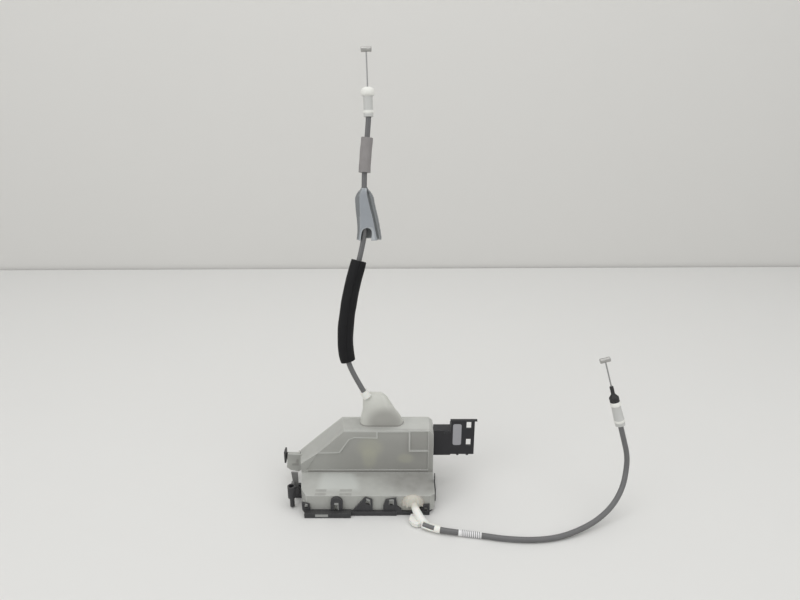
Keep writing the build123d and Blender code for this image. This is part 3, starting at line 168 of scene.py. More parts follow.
# Blocks of the connector and of its pins, in millimetres: those with True are added, the others cut out
CONNECTOR_STEPS = (
    (True, (62.6, 12.7, 38.1), (66.2, 20.9, 62.7)),
    (True, (66.2, 11.0, 36.4), (83.0, 22.6, 64.4)),
    (True, (76.6, 10.5, 61.4), (83.0, 11.0, 63.2)),
    (True, (83.0, 11.0, 37.5), (106.0, 26.0, 66.0)),
    (True, (83.0, 11.0, 37.5), (106.0, 12.6, 76.4)),
    (True, (82.2, 10.2, 74.8), (108.2, 12.6, 76.4)),
    (True, (88.8, 11.0, 36.3), (91.2, 26.0, 37.5)),
    (True, (98.3, 11.0, 36.3), (100.7, 26.0, 37.5)),
    (False, (88.7, 12.6, 39.1), (106.0, 24.4, 64.4)),
    (False, (98.0, 11.0, 66.8), (102.6, 12.6, 73.8)),
    (False, (98.0, 11.0, 47.0), (102.6, 12.6, 54.8)),
    (False, (97.5, 12.6, 39.1), (105.0, 26.0, 66.0)),
)
PIN_HEIGHTS = (42.5, 46.2, 49.9, 53.6, 57.3, 61.0)
PIN_STEPS = tuple((True, (84.7, 18.0, z - 0.4), (96.6, 19.0, z + 0.4)) for z in PIN_HEIGHTS)

# The connector's label in metres: its corners in X and Z, their radius, and the Y of its face
LABEL_LOW = (0.0849, 0.0480)
LABEL_HIGH = (0.0932, 0.0715)
LABEL_CORNER = 0.002
LABEL_FACE = 0.01084

# The guide in millimetres: places of its arm with their radii, and the outline and heights of its foot
GUIDE_ARM = (
    (46.2, -33.0, 14.5, 3.2), (47.4, -36.0, 10.0, 3.5), (50.0, -40.8, 6.9, 3.9), (52.6, -45.6, 5.4, 3.9),
    (56.0, -49.8, 4.6, 3.2), (60.0, -52.8, 4.1, 2.3),
)
GUIDE_FOOT = (
    (43.3, -37.6), (41.6, -44.6), (44.4, -49.8), (49.0, -52.0),
    (54.0, -50.0), (54.5, -44.0), (48.4, -37.0),
)
GUIDE_FOOT_HEIGHTS = (1.2, 4.8)

# The guide's pleated cap in millimetres: middle of its foot, reach in X and Y, and height
CAP_FOOT = (45.2, -31.2, 10.6)
CAP_REACH = (10.4, 4.1)
CAP_HEIGHT = 10.8
CAP_PLEATS = 12


def length_property(name, description, default):
    return FloatProperty(name=name, description=description, default=default, min=0.0, precision=5,
                         unit="LENGTH")


def colour_property(name, description, default):
    return FloatVectorProperty(name=name, description=description, default=default, min=0.0, max=1.0,
                               size=3, subtype="COLOR")


def share_property(name, description, default):
    return FloatProperty(name=name, description=description, default=default, min=0.0, max=1.0,
                         subtype="FACTOR")


class LockCaseLook(bpy.types.PropertyGroup):
    """Colours and finish of the case."""
    milky: colour_property("Milky Colour", "Body colour of the translucent cover", (0.50, 0.505, 0.475))
    hood: colour_property("Hood Colour", "Body colour of the paler cable hood", (0.66, 0.665, 0.62))
    # Painted highlight: this pale colour lightens the cover's edges and ribs, its upward faces and the
    # right of its top and slope
    edge: colour_property("Edge Colour", "Lighter colour of thin ribs and edges", (0.74, 0.75, 0.72))
    # Painted shade: this tone darkens the hollow behind the wall, the right of the leg and ledge, the
    # flange's pocket, the leg's foot, the left of the top and the hood
    shadow: colour_property("Inside Shadow", "Tone of the hollow behind the wall", (0.27, 0.262, 0.245))
    ghost: colour_property("Gear Ghost", "Tone of the gears seen through the wall", (0.54, 0.54, 0.43))
    see_through: share_property("See Through", "Share of light that passes the milky wall", 0.22)
    pale: colour_property("Pale Patch", "White trap seen through the ledge", (0.80, 0.83, 0.80))
    roughness: share_property("Roughness", "Roughness of the milky moulding", 0.46)


class LockBlackLook(bpy.types.PropertyGroup):
    """Colours of the black and white mouldings."""
    housing: colour_property("Housing Colour", "Latch block and back shell", (0.030, 0.030, 0.033))
    connector: colour_property("Connector Colour", "Wire connector", (0.013, 0.013, 0.016))
    worn: colour_property("Worn Edge", "Rubbed edges of black mouldings", (0.085, 0.085, 0.088))
    dust: colour_property("Dust Colour", "Thin dust on upward faces", (0.30, 0.29, 0.27))
    shown: colour_property("Shown Through", "Pale moulding in the clips' windows", (0.34, 0.345, 0.335))
    white: colour_property("White Colour", "Guide, collar and end fittings", (0.80, 0.80, 0.76))
    cream: colour_property("Cream Colour", "Gears inside the case", (0.74, 0.70, 0.50))
    label: colour_property("Label Colour", "Bare label on the connector", (0.34, 0.34, 0.36))


class LockMetalLook(bpy.types.PropertyGroup):
    """Colours of the metal pieces."""
    zinc: colour_property("Zinc Plate", "Face plate, back plate, levers and screws", (0.60, 0.60, 0.57))
    dark: colour_property("Phosphated Steel", "Claw and pawl", (0.20, 0.20, 0.205))
    wire: colour_property("Wire Strand", "Bare cable wires and springs", (0.42, 0.42, 0.42))
    brass: colour_property("Brass", "Contact pins and tracks", (0.76, 0.58, 0.28))
    nipple: colour_property("Nipple Zinc", "Die-cast barrel nipples", (0.44, 0.435, 0.42))


class LockCableSizes(bpy.types.PropertyGroup):
    """Sizes and colours of the cables."""
    sheath: length_property("Sheath Diameter", "Outside of the conduit", 5.0 * MM)
    black_foam: length_property("Black Foam Radius", "Outside of the black foam sleeve", 7.7 * MM)
    grey_foam: length_property("Grey Foam Radius", "Outside of the grey foam sleeve", 5.7 * MM)
    wire: length_property("Wire Radius", "Outside of the bare strand", 0.7 * MM)
    sheath_colour: colour_property("Sheath Colour", "Conduit", (0.135, 0.135, 0.137))
    black_foam_colour: colour_property("Black Foam Colour", "Closed-cell foam", (0.008, 0.008, 0.009))
    grey_foam_colour: colour_property("Grey Foam Colour", "Closed-cell foam", (0.255, 0.242, 0.24))
    clip_colour: colour_property("Clip Colour", "Folded blue-grey clip", (0.285, 0.305, 0.33))


class LockStudio(bpy.types.PropertyGroup):
    """Camera and light."""
    camera_height: length_property("Camera Height", "Height of the lens over the table", 0.391)
    camera_back: length_property("Camera Distance", "How far the lens stands before the lock", 0.514)
    camera_side: length_property("Camera Side", "Sideways place of the lens", 0.0332)
    camera_pitch: FloatProperty(name="Camera Pitch", description="Downward tilt of the lens",
                                default=math.radians(20.0), subtype="ANGLE", unit="ROTATION")
    table: colour_property("Table Colour", "Pale table", (0.72, 0.718, 0.705))
    wall: colour_property("Wall Colour", "Wall behind the table", (0.685, 0.678, 0.658))
    table_back: length_property("Table Depth", "How far behind the lock the table ends", 0.7565)
    table_gap: length_property("Table Gap", "Width of the dark gap between table and wall", 0.006)
    daylight: FloatProperty(name="Daylight", description="Strength of the even surrounding light",
                            default=0.62, min=0.0)


def add(tree, kind, **settings):
    """A node of that kind with its settings."""
    made = tree.nodes.new(kind)
    for name, value in settings.items():
        setattr(made, name, value)
    return made


def math_node(tree, operation, first, second=None):
    """A Math node; each input is a number or a socket."""
    made = add(tree, "ShaderNodeMath", operation=operation)
    for socket, value in zip(made.inputs, (first, second)):
        if value is None:
            continue
        if isinstance(value, (int, float)):
            socket.default_value = value
        else:
            tree.links.new(value, socket)
    return made.outputs[0]


def blend_colour(tree, share, first, second, mode="MIX"):
    """A colour Mix node; each input is a value or a socket."""
    made = add(tree, "ShaderNodeMix", data_type="RGBA", blend_type=mode)
    for name, value in (("Factor_Float", share), ("A_Color", first), ("B_Color", second)):
        socket = next(s for s in made.inputs if s.identifier == name)
        if isinstance(value, (int, float)):
            socket.default_value = value
        elif isinstance(value, bpy.types.NodeSocket):
            tree.links.new(value, socket)
        else:
            socket.default_value = (*value, 1.0)
    return next(s for s in made.outputs if s.identifier == "Result_Color")


def new_group(name, inputs, outputs):
    """An empty shader node group with named sockets."""
    group = bpy.data.node_groups.new(name, "ShaderNodeTree")
    for label, kind, default in inputs:
        socket = group.interface.new_socket(label, in_out="INPUT", socket_type=kind)
        if default is not None:
            socket.default_value = default
    for label, kind in outputs:
        group.interface.new_socket(label, in_out="OUTPUT", socket_type=kind)
    return group, group.nodes.new("NodeGroupInput"), group.nodes.new("NodeGroupOutput")


def moulded_grain_group():
    """Uneven tint, uneven gloss and fine relief of a moulded or rolled surface."""
    group, given, out = new_group(
        "moulded_grain",
        (("Vector", "NodeSocketVector", None), ("Colour", "NodeSocketColor", (0.5, 0.5, 0.5, 1.0)),
         ("Tint Spread", "NodeSocketFloat", 0.1), ("Patch Scale", "NodeSocketFloat", 60.0),
         ("Grain Scale", "NodeSocketFloat", 1800.0), ("Roughness", "NodeSocketFloat", 0.5),
         ("Roughness Spread", "NodeSocketFloat", 0.1)),
        (("Colour", "NodeSocketColor"), ("Roughness", "NodeSocketFloat"), ("Height", "NodeSocketFloat")))
    patches = add(group, "ShaderNodeTexNoise")
    patches.inputs["Detail"].default_value = 3.0
    grain = add(group, "ShaderNodeTexNoise")
    grain.inputs["Detail"].default_value = 2.0
    links = group.links
    for texture, scale in ((patches, "Patch Scale"), (grain, "Grain Scale")):
        links.new(given.outputs["Vector"], texture.inputs["Vector"])
        links.new(given.outputs[scale], texture.inputs["Scale"])
    centred = math_node(group, "SUBTRACT", patches.outputs["Fac"], 0.5)
    swing = math_node(group, "MULTIPLY", centred, given.outputs["Tint Spread"])
    level = math_node(group, "ADD", math_node(group, "MULTIPLY", swing, 2.0), 1.0)
    grey = add(group, "ShaderNodeCombineColor")
    for channel in grey.inputs:
        links.new(level, channel)
    uneven = blend_colour(group, 1.0, given.outputs["Colour"], grey.outputs[0], "MULTIPLY")
    links.new(uneven, out.inputs["Colour"])
    gloss = math_node(group, "MULTIPLY", math_node(group, "SUBTRACT", grain.outputs["Fac"], 0.5),
                      given.outputs["Roughness Spread"])
    links.new(math_node(group, "ADD", gloss, given.outputs["Roughness"]), out.inputs["Roughness"])
    links.new(grain.outputs["Fac"], out.inputs["Height"])
    return group


def edge_wear_and_highlight_group():
    """Another colour along edges and thin ribs: rubbed wear on the black mouldings, painted highlight on
    the milky cover.
    """
    group, given, out = new_group(
        "edge_wear_and_highlight",
        (("Colour", "NodeSocketColor", (0.5, 0.5, 0.5, 1.0)),
         ("Edge Colour", "NodeSocketColor", (0.8, 0.8, 0.8, 1.0)),
         ("Width", "NodeSocketFloat", 0.0006), ("Amount", "NodeSocketFloat", 0.5)),
        (("Colour", "NodeSocketColor"),))
    rounded = add(group, "ShaderNodeBevel", samples=6)
    group.links.new(given.outputs["Width"], rounded.inputs["Radius"])
    surface = add(group, "ShaderNodeNewGeometry")
    agree = add(group, "ShaderNodeVectorMath", operation="DOT_PRODUCT")
    group.links.new(rounded.outputs[0], agree.inputs[0])
    group.links.new(surface.outputs["True Normal"], agree.inputs[1])
    sharp = math_node(group, "SUBTRACT", 1.0, agree.outputs["Value"])
    steep = add(group, "ShaderNodeMapRange", interpolation_type="SMOOTHSTEP")
    steep.inputs["From Min"].default_value = 0.004
    steep.inputs["From Max"].default_value = 0.07
    group.links.new(sharp, steep.inputs["Value"])
    share = math_node(group, "MULTIPLY", steep.outputs["Result"], given.outputs["Amount"])
    mixed = blend_colour(group, share, given.outputs["Colour"], given.outputs["Edge Colour"])
    group.links.new(mixed, out.inputs["Colour"])
    return group


def dust_and_top_light_group():
    """Another uneven colour on faces that look up: thin dust on the black mouldings and foam, painted top
    light on the milky cover.
    """
    group, given, out = new_group(
        "dust_and_top_light",
        (("Vector", "NodeSocketVector", None), ("Colour", "NodeSocketColor", (0.5, 0.5, 0.5, 1.0)),
         ("Dust Colour", "NodeSocketColor", (0.4, 0.4, 0.38, 1.0)), ("Amount", "NodeSocketFloat", 0.2)),
        (("Colour", "NodeSocketColor"),))
    facing = add(group, "ShaderNodeTexCoord")
    parts = add(group, "ShaderNodeSeparateXYZ")
    group.links.new(facing.outputs["Normal"], parts.inputs[0])
    clouds = add(group, "ShaderNodeTexNoise")
    clouds.inputs["Scale"].default_value = 140.0
    clouds.inputs["Detail"].default_value = 5.0
    group.links.new(given.outputs["Vector"], clouds.inputs["Vector"])
    upward = math_node(group, "MAXIMUM", parts.outputs["Z"], 0.15)
    cover = math_node(group, "MULTIPLY", upward, clouds.outputs["Fac"])
    share = math_node(group, "MULTIPLY", cover, given.outputs["Amount"])
    mixed = blend_colour(group, share, given.outputs["Colour"], given.outputs["Dust Colour"])
    group.links.new(mixed, out.inputs["Colour"])
    return group


GROUPS = {}


def shared_group(name):
    """The shared effect of that name, built once."""
    makers = {"moulded_grain": moulded_grain_group, "edge_wear_and_highlight": edge_wear_and_highlight_group,
              "dust_and_top_light": dust_and_top_light_group}
    if name not in GROUPS:
        GROUPS[name] = makers[name]()
    return GROUPS[name]


def place_group(tree, name, **values):
    """A shared effect in a material; each value is a number, a colour or a socket."""
    made = add(tree, "ShaderNodeGroup", node_tree=shared_group(name))
    for key, value in values.items():
        socket = made.inputs[key.replace("_", " ")]
        if isinstance(value, bpy.types.NodeSocket):
            tree.links.new(value, socket)
        elif isinstance(value, (int, float)):
            socket.default_value = value
        else:
            socket.default_value = (*value, 1.0)
    return made


def finish(name, colour, roughness, grain=1800.0, relief=0.06, spread=0.08, patch=60.0,
           stretch=(1.0, 1.0, 1.0), edge=None, edge_width=0.5 * MM, dust=None, dust_amount=0.0,
           paint=None, **sockets):
    """A material: grain and tint, then anything painted on, edges and dust, into one shader; on the milky
    cover its edges and dust are painted highlight and painted top light.
    """
    material = bpy.data.materials.new(name)
    material.use_nodes = True
    tree = material.node_tree
    shader = next(n for n in tree.nodes if n.type == "BSDF_PRINCIPLED")
    place = add(tree, "ShaderNodeTexCoord")
    scaled = add(tree, "ShaderNodeMapping")
    scaled.inputs["Scale"].default_value = stretch
    tree.links.new(place.outputs["Object"], scaled.inputs["Vector"])
    body = place_group(tree, "moulded_grain", Vector=scaled.outputs[0], Colour=colour, Tint_Spread=spread,
                       Patch_Scale=patch, Grain_Scale=grain, Roughness=roughness, Roughness_Spread=0.16)
    tone = body.outputs["Colour"]
    if paint:
        tone = paint(tree, place.outputs["Object"], tone)
    # Edge colour: rubbed wear on the black mouldings, painted highlight on the milky cover
    if edge:
        worn = place_group(tree, "edge_wear_and_highlight", Colour=tone, Edge_Colour=edge, Width=edge_width, Amount=0.75)
        tone = worn.outputs[0]
    # Dust on faces that look up; on the milky cover this is painted top light
    if dust:
        dusty = place_group(tree, "dust_and_top_light", Vector=place.outputs["Object"], Colour=tone,
                            Dust_Colour=dust, Amount=dust_amount)
        tone = dusty.outputs[0]
    tree.links.new(tone, shader.inputs["Base Color"])
    tree.links.new(body.outputs["Roughness"], shader.inputs["Roughness"])
    bump = add(tree, "ShaderNodeBump")
    bump.inputs["Strength"].default_value = relief
    bump.inputs["Distance"].default_value = 0.1 * MM
    tree.links.new(body.outputs["Height"], bump.inputs["Height"])
    tree.links.new(bump.outputs[0], shader.inputs["Normal"])
    for key, value in sockets.items():
        shader.inputs[key.replace("_", " ")].default_value = value
    return material


def soft_spot(tree, position, centre, reach, hard=0.6):
    """A mask that is 1 in the middle of an ellipsoid and fades to 0 at its rim."""
    moved = add(tree, "ShaderNodeMapping", vector_type="TEXTURE")
    moved.inputs["Location"].default_value = centre
    moved.inputs["Scale"].default_value = reach
    tree.links.new(position, moved.inputs["Vector"])
    ball = add(tree, "ShaderNodeTexGradient", gradient_type="SPHERICAL")
    tree.links.new(moved.outputs[0], ball.inputs["Vector"])
    fade = add(tree, "ShaderNodeMapRange", interpolation_type="SMOOTHSTEP")
    fade.inputs["From Max"].default_value = hard
    tree.links.new(ball.outputs["Fac"], fade.inputs["Value"])
    return fade.outputs["Result"]


def soft_patch(tree, position, corners, axes, fade):
    """A mask that is 1 inside a convex patch, given counterclockwise, and fades out across its border."""
    mask = None
    for (a, b), (c, d) in zip(corners, corners[1:] + corners[:1]):
        length = math.hypot(c - a, d - b)
        inward = [0.0, 0.0, 0.0]
        inward[axes[0]], inward[axes[1]] = (b - d) / length, (c - a) / length
        depth = add(tree, "ShaderNodeVectorMath", operation="DOT_PRODUCT")
        depth.inputs[1].default_value = inward
        tree.links.new(position, depth.inputs[0])
        border = a * inward[axes[0]] + b * inward[axes[1]]
        ramp = add(tree, "ShaderNodeMapRange", interpolation_type="SMOOTHSTEP")
        ramp.inputs["From Min"].default_value = border - fade / 2
        ramp.inputs["From Max"].default_value = border + fade / 2
        tree.links.new(depth.outputs["Value"], ramp.inputs["Value"])
        side = ramp.outputs["Result"]
        mask = side if mask is None else math_node(tree, "MULTIPLY", mask, side)
    return mask


def field(low, high):
    """Corners of an upright rectangle, counterclockwise."""
    return ((low[0], low[1]), (high[0], low[1]), (high[0], high[1]), (low[0], high[1]))


def slab(tree, position, axis, low, high, fade):
    """A mask that is 1 between two places on one axis, and fades out across both."""
    corners = field((low, -FAR), (high, FAR))
    return soft_patch(tree, position, corners, (axis, (axis + 1) % 3), fade)


def stroke(tree, position, line, width):
    """A mask along a line of points in X and Z, which are in millimetres."""
    mask = None
    for start, end in zip(line, line[1:]):
        a, b = Vector(start) * MM, Vector(end) * MM
        ahead = (b - a).normalized()
        side = Vector((ahead.y, -ahead.x)) * width / 2
        a, b = a - ahead * width / 3, b + ahead * width / 3
        corners = [tuple(corner) for corner in (a + side, b + side, b - side, a - side)]
        piece = soft_patch(tree, position, corners, (0, 2), 0.5 * MM)
        mask = piece if mask is None else math_node(tree, "MAXIMUM", mask, piece)
    return mask


def tint(tree, tone, mask, share, colour):
    """The tone, with a share of another colour where the mask is 1."""
    return blend_colour(tree, math_node(tree, "MULTIPLY", mask, share), tone, colour)


def dress(names, material):
    """Give one material to CAD nodes."""
    for name in names:
        mesh = NODES[name].data
        mesh.materials.clear()
        mesh.materials.append(material)


def mesh_piece(name, vertices, faces, material, smooth=True):
    """A mesh object from vertices and faces, its normals outwards."""
    mesh = bpy.data.meshes.new(name)
    mesh.from_pydata([tuple(v) for v in vertices], [], faces)
    shape = bmesh.new()
    shape.from_mesh(mesh)
    bmesh.ops.remove_doubles(shape, verts=shape.verts, dist=0.002 * MM)
    bmesh.ops.recalc_face_normals(shape, faces=shape.faces)
    shape.to_mesh(mesh)
    shape.free()
    if smooth:
        mesh.shade_smooth()
        mesh.set_sharp_from_angle(angle=math.radians(38))
    mesh.materials.append(material)
    piece = bpy.data.objects.new(name, mesh)
    bpy.context.scene.collection.objects.link(piece)
    return piece


def seat(piece, body, slot, *nodes):
    """Let a finished piece ride on its body instead of the CAD nodes it stands for; the slot is not used.
    """
    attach(piece, body)
    if nodes:
        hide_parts(*nodes)
    return piece


def across(direction):
    """Two directions square to a given one."""
    side = Vector((0.0, 1.0, 0.0)).cross(direction).normalized()
    return side, direction.cross(side).normalized()


def circle(centre, ahead, radius, sides):
    """Evenly spaced points of a circle square to a direction."""
    side, other = across(ahead)
    turns = (math.tau * k / sides for k in range(sides))
    return [centre + (side * math.cos(turn) + other * math.sin(turn)) * radius for turn in turns]


def in_metres(profile):
    """Distances and radii that are given in millimetres."""
    return [(distance * MM, radius * MM) for distance, radius in profile]


def turned(name, start, direction, profile, material, sides=48):
    """A turned piece: profile holds distances along the axis and radii."""
    rings = [circle(start + direction * distance, direction, radius, sides) for distance, radius in profile]
    return lofted(name, rings, material)


def route_spline(name, route, radius):
    """A cable's smooth line, as a curve object."""
    data = bpy.data.curves.new(name, "CURVE")
    data.dimensions = "3D"
    spline = data.splines.new("NURBS")
    spline.points.add(len(route) - 1)
    for point, place in zip(spline.points, route):
        point.co = (*place, 1.0)
    spline.order_u = 3
    spline.use_endpoint_u = True
    data.resolution_u = 16
    data.bevel_depth = radius
    data.bevel_resolution = 6
    data.use_fill_caps = radius > 0
    curve = bpy.data.objects.new(name, data)
    bpy.context.scene.collection.objects.link(curve)
    return curve


def centreline(route):
    """Points along a cable's smooth line."""
    curve = route_spline("centreline", route, 0.0)
    bpy.context.view_layer.update()
    mesh = bpy.data.meshes.new_from_object(curve)
    points = [v.co.copy() for v in mesh.vertices]
    bpy.data.meshes.remove(mesh)
    bpy.data.objects.remove(curve)
    return points


def stretch_of(points, axis, span, steps):
    """Evenly spaced points of a line between two values of one coordinate."""
    low, high = (share_at(points, axis, value) for value in span)
    reach = [0.0]
    for a, b in zip(points, points[1:]):
        reach.append(reach[-1] + (b - a).length)
    found = []
    for step in range(steps + 1):
        target = reach[-1] * (low + (high - low) * step / steps)
        i = next((k for k in range(1, len(reach)) if reach[k] >= target), len(reach) - 1)
        span = reach[i] - reach[i - 1]
        found.append(points[i - 1].lerp(points[i], (target - reach[i - 1]) / span))
    return found


def share_at(points, axis, value):
    """How far along a line, from 0 to 1, one coordinate first reaches a value."""
    reach, at = [0.0], None
    for a, b in zip(points, points[1:]):
        if at is None and (a[axis] - value) * (b[axis] - value) <= 0:
            at = reach[-1]
        reach.append(reach[-1] + (b - a).length)
    return at / reach[-1]


def heading(points, i):
    """The direction of a line at one of its points."""
    return (points[min(i + 1, len(points) - 1)] - points[max(i - 1, 0)]).normalized()


def swept(name, points, bore, outside, material, sides=48):
    """A sleeve round a line; outside gives the radius for a share of the length and an angle."""
    last = len(points) - 1
    turns = [math.tau * k / sides for k in range(sides)]
    shell, lining = [], []
    for i, point in enumerate(points):
        side, other = across(heading(points, i))
        rims = [side * math.cos(turn) + other * math.sin(turn) for turn in turns]
        shell.append([point + rim * outside(i / last, turn) for rim, turn in zip(rims, turns)])
        lining.append([point + rim * bore for rim in rims])
    rings = shell + lining[::-1]
    rows, faces = len(rings), []
    for row, k in itertools.product(range(rows), range(sides)):
        after, j = (row + 1) % rows, (k + 1) % sides
        faces.append((row * sides + k, row * sides + j, after * sides + j, after * sides + k))
    return mesh_piece(name, [point for ring in rings for point in ring], faces, material)


def rounded_outline(low, high, radius):
    """Points of a rectangle with round corners."""
    corners = ((high[0] - radius, high[1] - radius, 0), (low[0] + radius, high[1] - radius, 90),
               (low[0] + radius, low[1] + radius, 180), (high[0] - radius, low[1] + radius, 270))
    points = []
    for x, y, start in corners:
        for turn in (math.radians(start + 15 * step) for step in range(7)):
            points.append((x + radius * math.cos(turn), y + radius * math.sin(turn)))
    return points


def lofted(name, rings, material, smooth=True):
    """A closed body through rings of as many points each."""
    count, last = len(rings[0]), len(rings) - 1
    faces = [tuple(range(count)), tuple(last * count + i for i in range(count))]
    for row, i in itertools.product(range(last), range(count)):
        j = (i + 1) % count
        faces.append((row * count + i, row * count + j, (row + 1) * count + j, (row + 1) * count + i))
    return mesh_piece(name, [point for ring in rings for point in ring], faces, material, smooth)


def rounded_plate(name, low, high, radius, thickness, front, material):
    """A thin plate with round corners in X and Z, its outer face at the given depth."""
    rim = 0.25 * thickness
    full = rounded_outline(low, high, radius)
    drawn_in = rounded_outline((low[0] + rim, low[1] + rim), (high[0] - rim, high[1] - rim), radius - rim)
    rings = [[Vector((x, depth, z)) for x, z in outline]
             for depth, outline in ((front + thickness, full), (front + rim, full), (front, drawn_in))]
    return lofted(name, rings, material)


def blended(rows, steps):
    """Rows of numbers with smooth rows put in between."""
    found = []
    for i in range(len(rows) - 1):
        four = (rows[max(i - 1, 0)], rows[i], rows[i + 1], rows[min(i + 2, len(rows) - 1)])
        for s in (step / steps for step in range(steps)):
            found.append([0.5 * (2 * b + (c - a) * s + (2 * a - 5 * b + 4 * c - d) * s ** 2
                                 + (3 * b - a - 3 * c + d) * s ** 3) for a, b, c, d in zip(*four)])
    return found + [list(rows[-1])]


def carved(name, steps, material):
    """A moulding from blocks, in millimetres, that are added (True) or cut (False) in turn."""
    cuts = [sorted({step[corner][axis] for step in steps for corner in (1, 2)}) for axis in range(3)]
    filled = set()
    for solid, low, high in steps:
        spans = [[i for i, (a, b) in enumerate(zip(line, line[1:])) if a >= least and b <= most]
                 for line, least, most in zip(cuts, low, high)]
        cells = set(itertools.product(*spans))
        filled = filled | cells if solid else filled - cells
    vertices, faces = [], []
    for cell in sorted(filled):
        for axis, side in itertools.product(range(3), (0, 1)):
            beside = tuple(n + (2 * side - 1 if k == axis else 0) for k, n in enumerate(cell))
            if beside in filled:
                continue
            faces.append(tuple(range(len(vertices), len(vertices) + 4)))
            for first, second in ((0, 0), (1, 0), (1, 1), (0, 1)):
                spot = list(cell)
                spot[axis] += side
                spot[(axis + 1) % 3] += first
                spot[(axis + 2) % 3] += second
                vertices.append([cuts[k][spot[k]] * MM for k in range(3)])
    piece = mesh_piece(name, vertices, faces, material)
    soft = piece.modifiers.new("soft", "BEVEL")
    soft.width = 0.25 * MM
    soft.segments = 2
    return piece


def round_bar(name, points, radii, material, sides=28):
    """A bar of changing radius along a line."""
    rings = [circle(point, heading(points, i), radii[i], sides) for i, point in enumerate(points)]
    return lofted(name, rings, material)


def joined(name, pieces):
    """One object from several, with the first one's finish."""
    shape = bmesh.new()
    for piece in pieces:
        shape.from_mesh(piece.data)
    mesh = bpy.data.meshes.new(name)
    shape.to_mesh(mesh)
    shape.free()
    mesh.materials.append(pieces[0].data.materials[0])
    for piece in pieces:
        bpy.data.objects.remove(piece)
    whole = bpy.data.objects.new(name, mesh)
    bpy.context.scene.collection.objects.link(whole)
    return whole


def end_band(start, direction, near, far):
    """Corners in X and Z of a band across an end fitting, between two distances along it."""
    ahead = Vector((direction.x, direction.z)).normalized()
    side = Vector((ahead.y, -ahead.x)) * 0.02
    foot, head = (Vector((start[0], start[2])) + ahead * reach * MM for reach in (near, far))
    return [tuple(corner) for corner in (foot - side, foot + side, head + side, head - side)]


class LOCK_OT_stage(bpy.types.Operator):
    """Make the pale table and wall, the soft lamps and the camera"""
    bl_idname = "door_lock.stage"
    bl_label = "Stage"

    def execute(self, context):
        look = context.scene.lock_studio
        self.make_camera(context, look)
        self.make_table(look)
        self.make_light(context, look)
        return {"FINISHED"}

    def make_camera(self, context, look):
        data = bpy.data.cameras.new("lens")
        data.lens = 27.9
        data.sensor_width = 36.0
        data.clip_start = 0.01
        camera = bpy.data.objects.new("lens", data)
        camera.location = (look.camera_side, -look.camera_back, look.camera_height)
        camera.rotation_euler = (math.pi / 2 - look.camera_pitch, 0.0, 0.0)
        context.scene.collection.objects.link(camera)
        context.scene.camera = camera

    def make_table(self, look):
        """A flat table and the wall behind it, with the thin dark gap between them."""
        wide, front, thick, tall, lean = 3.0, -1.6, 0.03, 2.6, 0.0142
        left, right = look.table_back - lean * wide, look.table_back + lean * wide
        top = finish("pale_table", look.table, 0.62, grain=900.0, relief=0.02, spread=0.008, patch=3.0)
        plaster = finish("pale_wall", look.wall, 0.70, grain=900.0, relief=0.02, spread=0.008, patch=3.0)
        floor = ((-wide, front), (wide, front), (wide, right), (-wide, left))
        near, far = left + look.table_gap, right + look.table_gap
        behind = ((-wide, near), (wide, far), (wide, far + thick), (-wide, near + thick))
        for name, plan, low, high, material in (("table", floor, -thick, 0.0, top),
                                                ("wall", behind, -3 * thick, tall, plaster)):
            vertices = [(x, y, z) for z in (low, high) for x, y in plan]
            sides = [(i, (i + 1) % 4, (i + 1) % 4 + 4, i + 4) for i in range(4)]
            faces = [(3, 2, 1, 0), (4, 5, 6, 7)] + sides
            mesh_piece(name, vertices, faces, material, smooth=False)

    def make_light(self, context, look):
        world = bpy.data.worlds.new("daylight")
        world.use_nodes = True
        world.node_tree.nodes["Background"].inputs["Color"].default_value = (1.0, 1.0, 0.99, 1.0)
        world.node_tree.nodes["Background"].inputs["Strength"].default_value = look.daylight
        context.scene.world = world
        lamps = (("overhead", (0.1, -0.1, 1.5), 1.6, 9.0), ("window", (-1.3, -1.0, 1.1), 1.2, 7.0),
                 ("fill", (1.4, -0.9, 0.9), 1.1, 3.0))
        for name, place, size, power in lamps:
            data = bpy.data.lights.new(name, "AREA")
            data.size = size
            data.energy = power
            lamp = bpy.data.objects.new(name, data)
            lamp.location = place
            aim = Vector((0.05, 0.0, 0.08)) - Vector(place)
            lamp.rotation_euler = aim.to_track_quat("-Z", "Y").to_euler()
            context.scene.collection.objects.link(lamp)


class LOCK_OT_steel(bpy.types.Operator):
    """Finish the plates, claw, pawl, levers, pins and springs"""
    bl_idname = "door_lock.steel"
    bl_label = "Steel Pieces"

    def execute(self, context):
        look = context.scene.lock_metal
        zinc = finish("zinc_plate", look.zinc, 0.36, grain=700.0, relief=0.10, spread=0.10, patch=90.0,
                      stretch=(1.0, 12.0, 1.0), edge=(0.75, 0.75, 0.73), Metallic=1.0)
        dark = finish("phosphated_steel", look.dark, 0.48, grain=1400.0, relief=0.12, spread=0.18,
                      edge=(0.45, 0.45, 0.45), Metallic=1.0)
        drawn = finish("drawn_wire", look.wire, 0.30, grain=2200.0, relief=0.08, Metallic=1.0)
        can = finish("motor_can_steel", look.zinc, 0.28, grain=900.0, relief=0.06, stretch=(14.0, 1.0, 1.0),
                     Metallic=1.0)
        dress(("face_plate", "back_plate", "fixing_bushes", "claw_pin", "pawl_pin", "outer_release_lever",
               "outer_lever_pin", "gear_axle", "lock_lever_pin", "inner_release_lever", "inner_lever_pin",
               "case_screws"), zinc)
        dress(("claw", "pawl", "motor_shaft"), dark)
        dress(("claw_spring", "pawl_spring", "outer_lever_spring"), drawn)
        dress(("motor_can",), can)
        return {"FINISHED"}


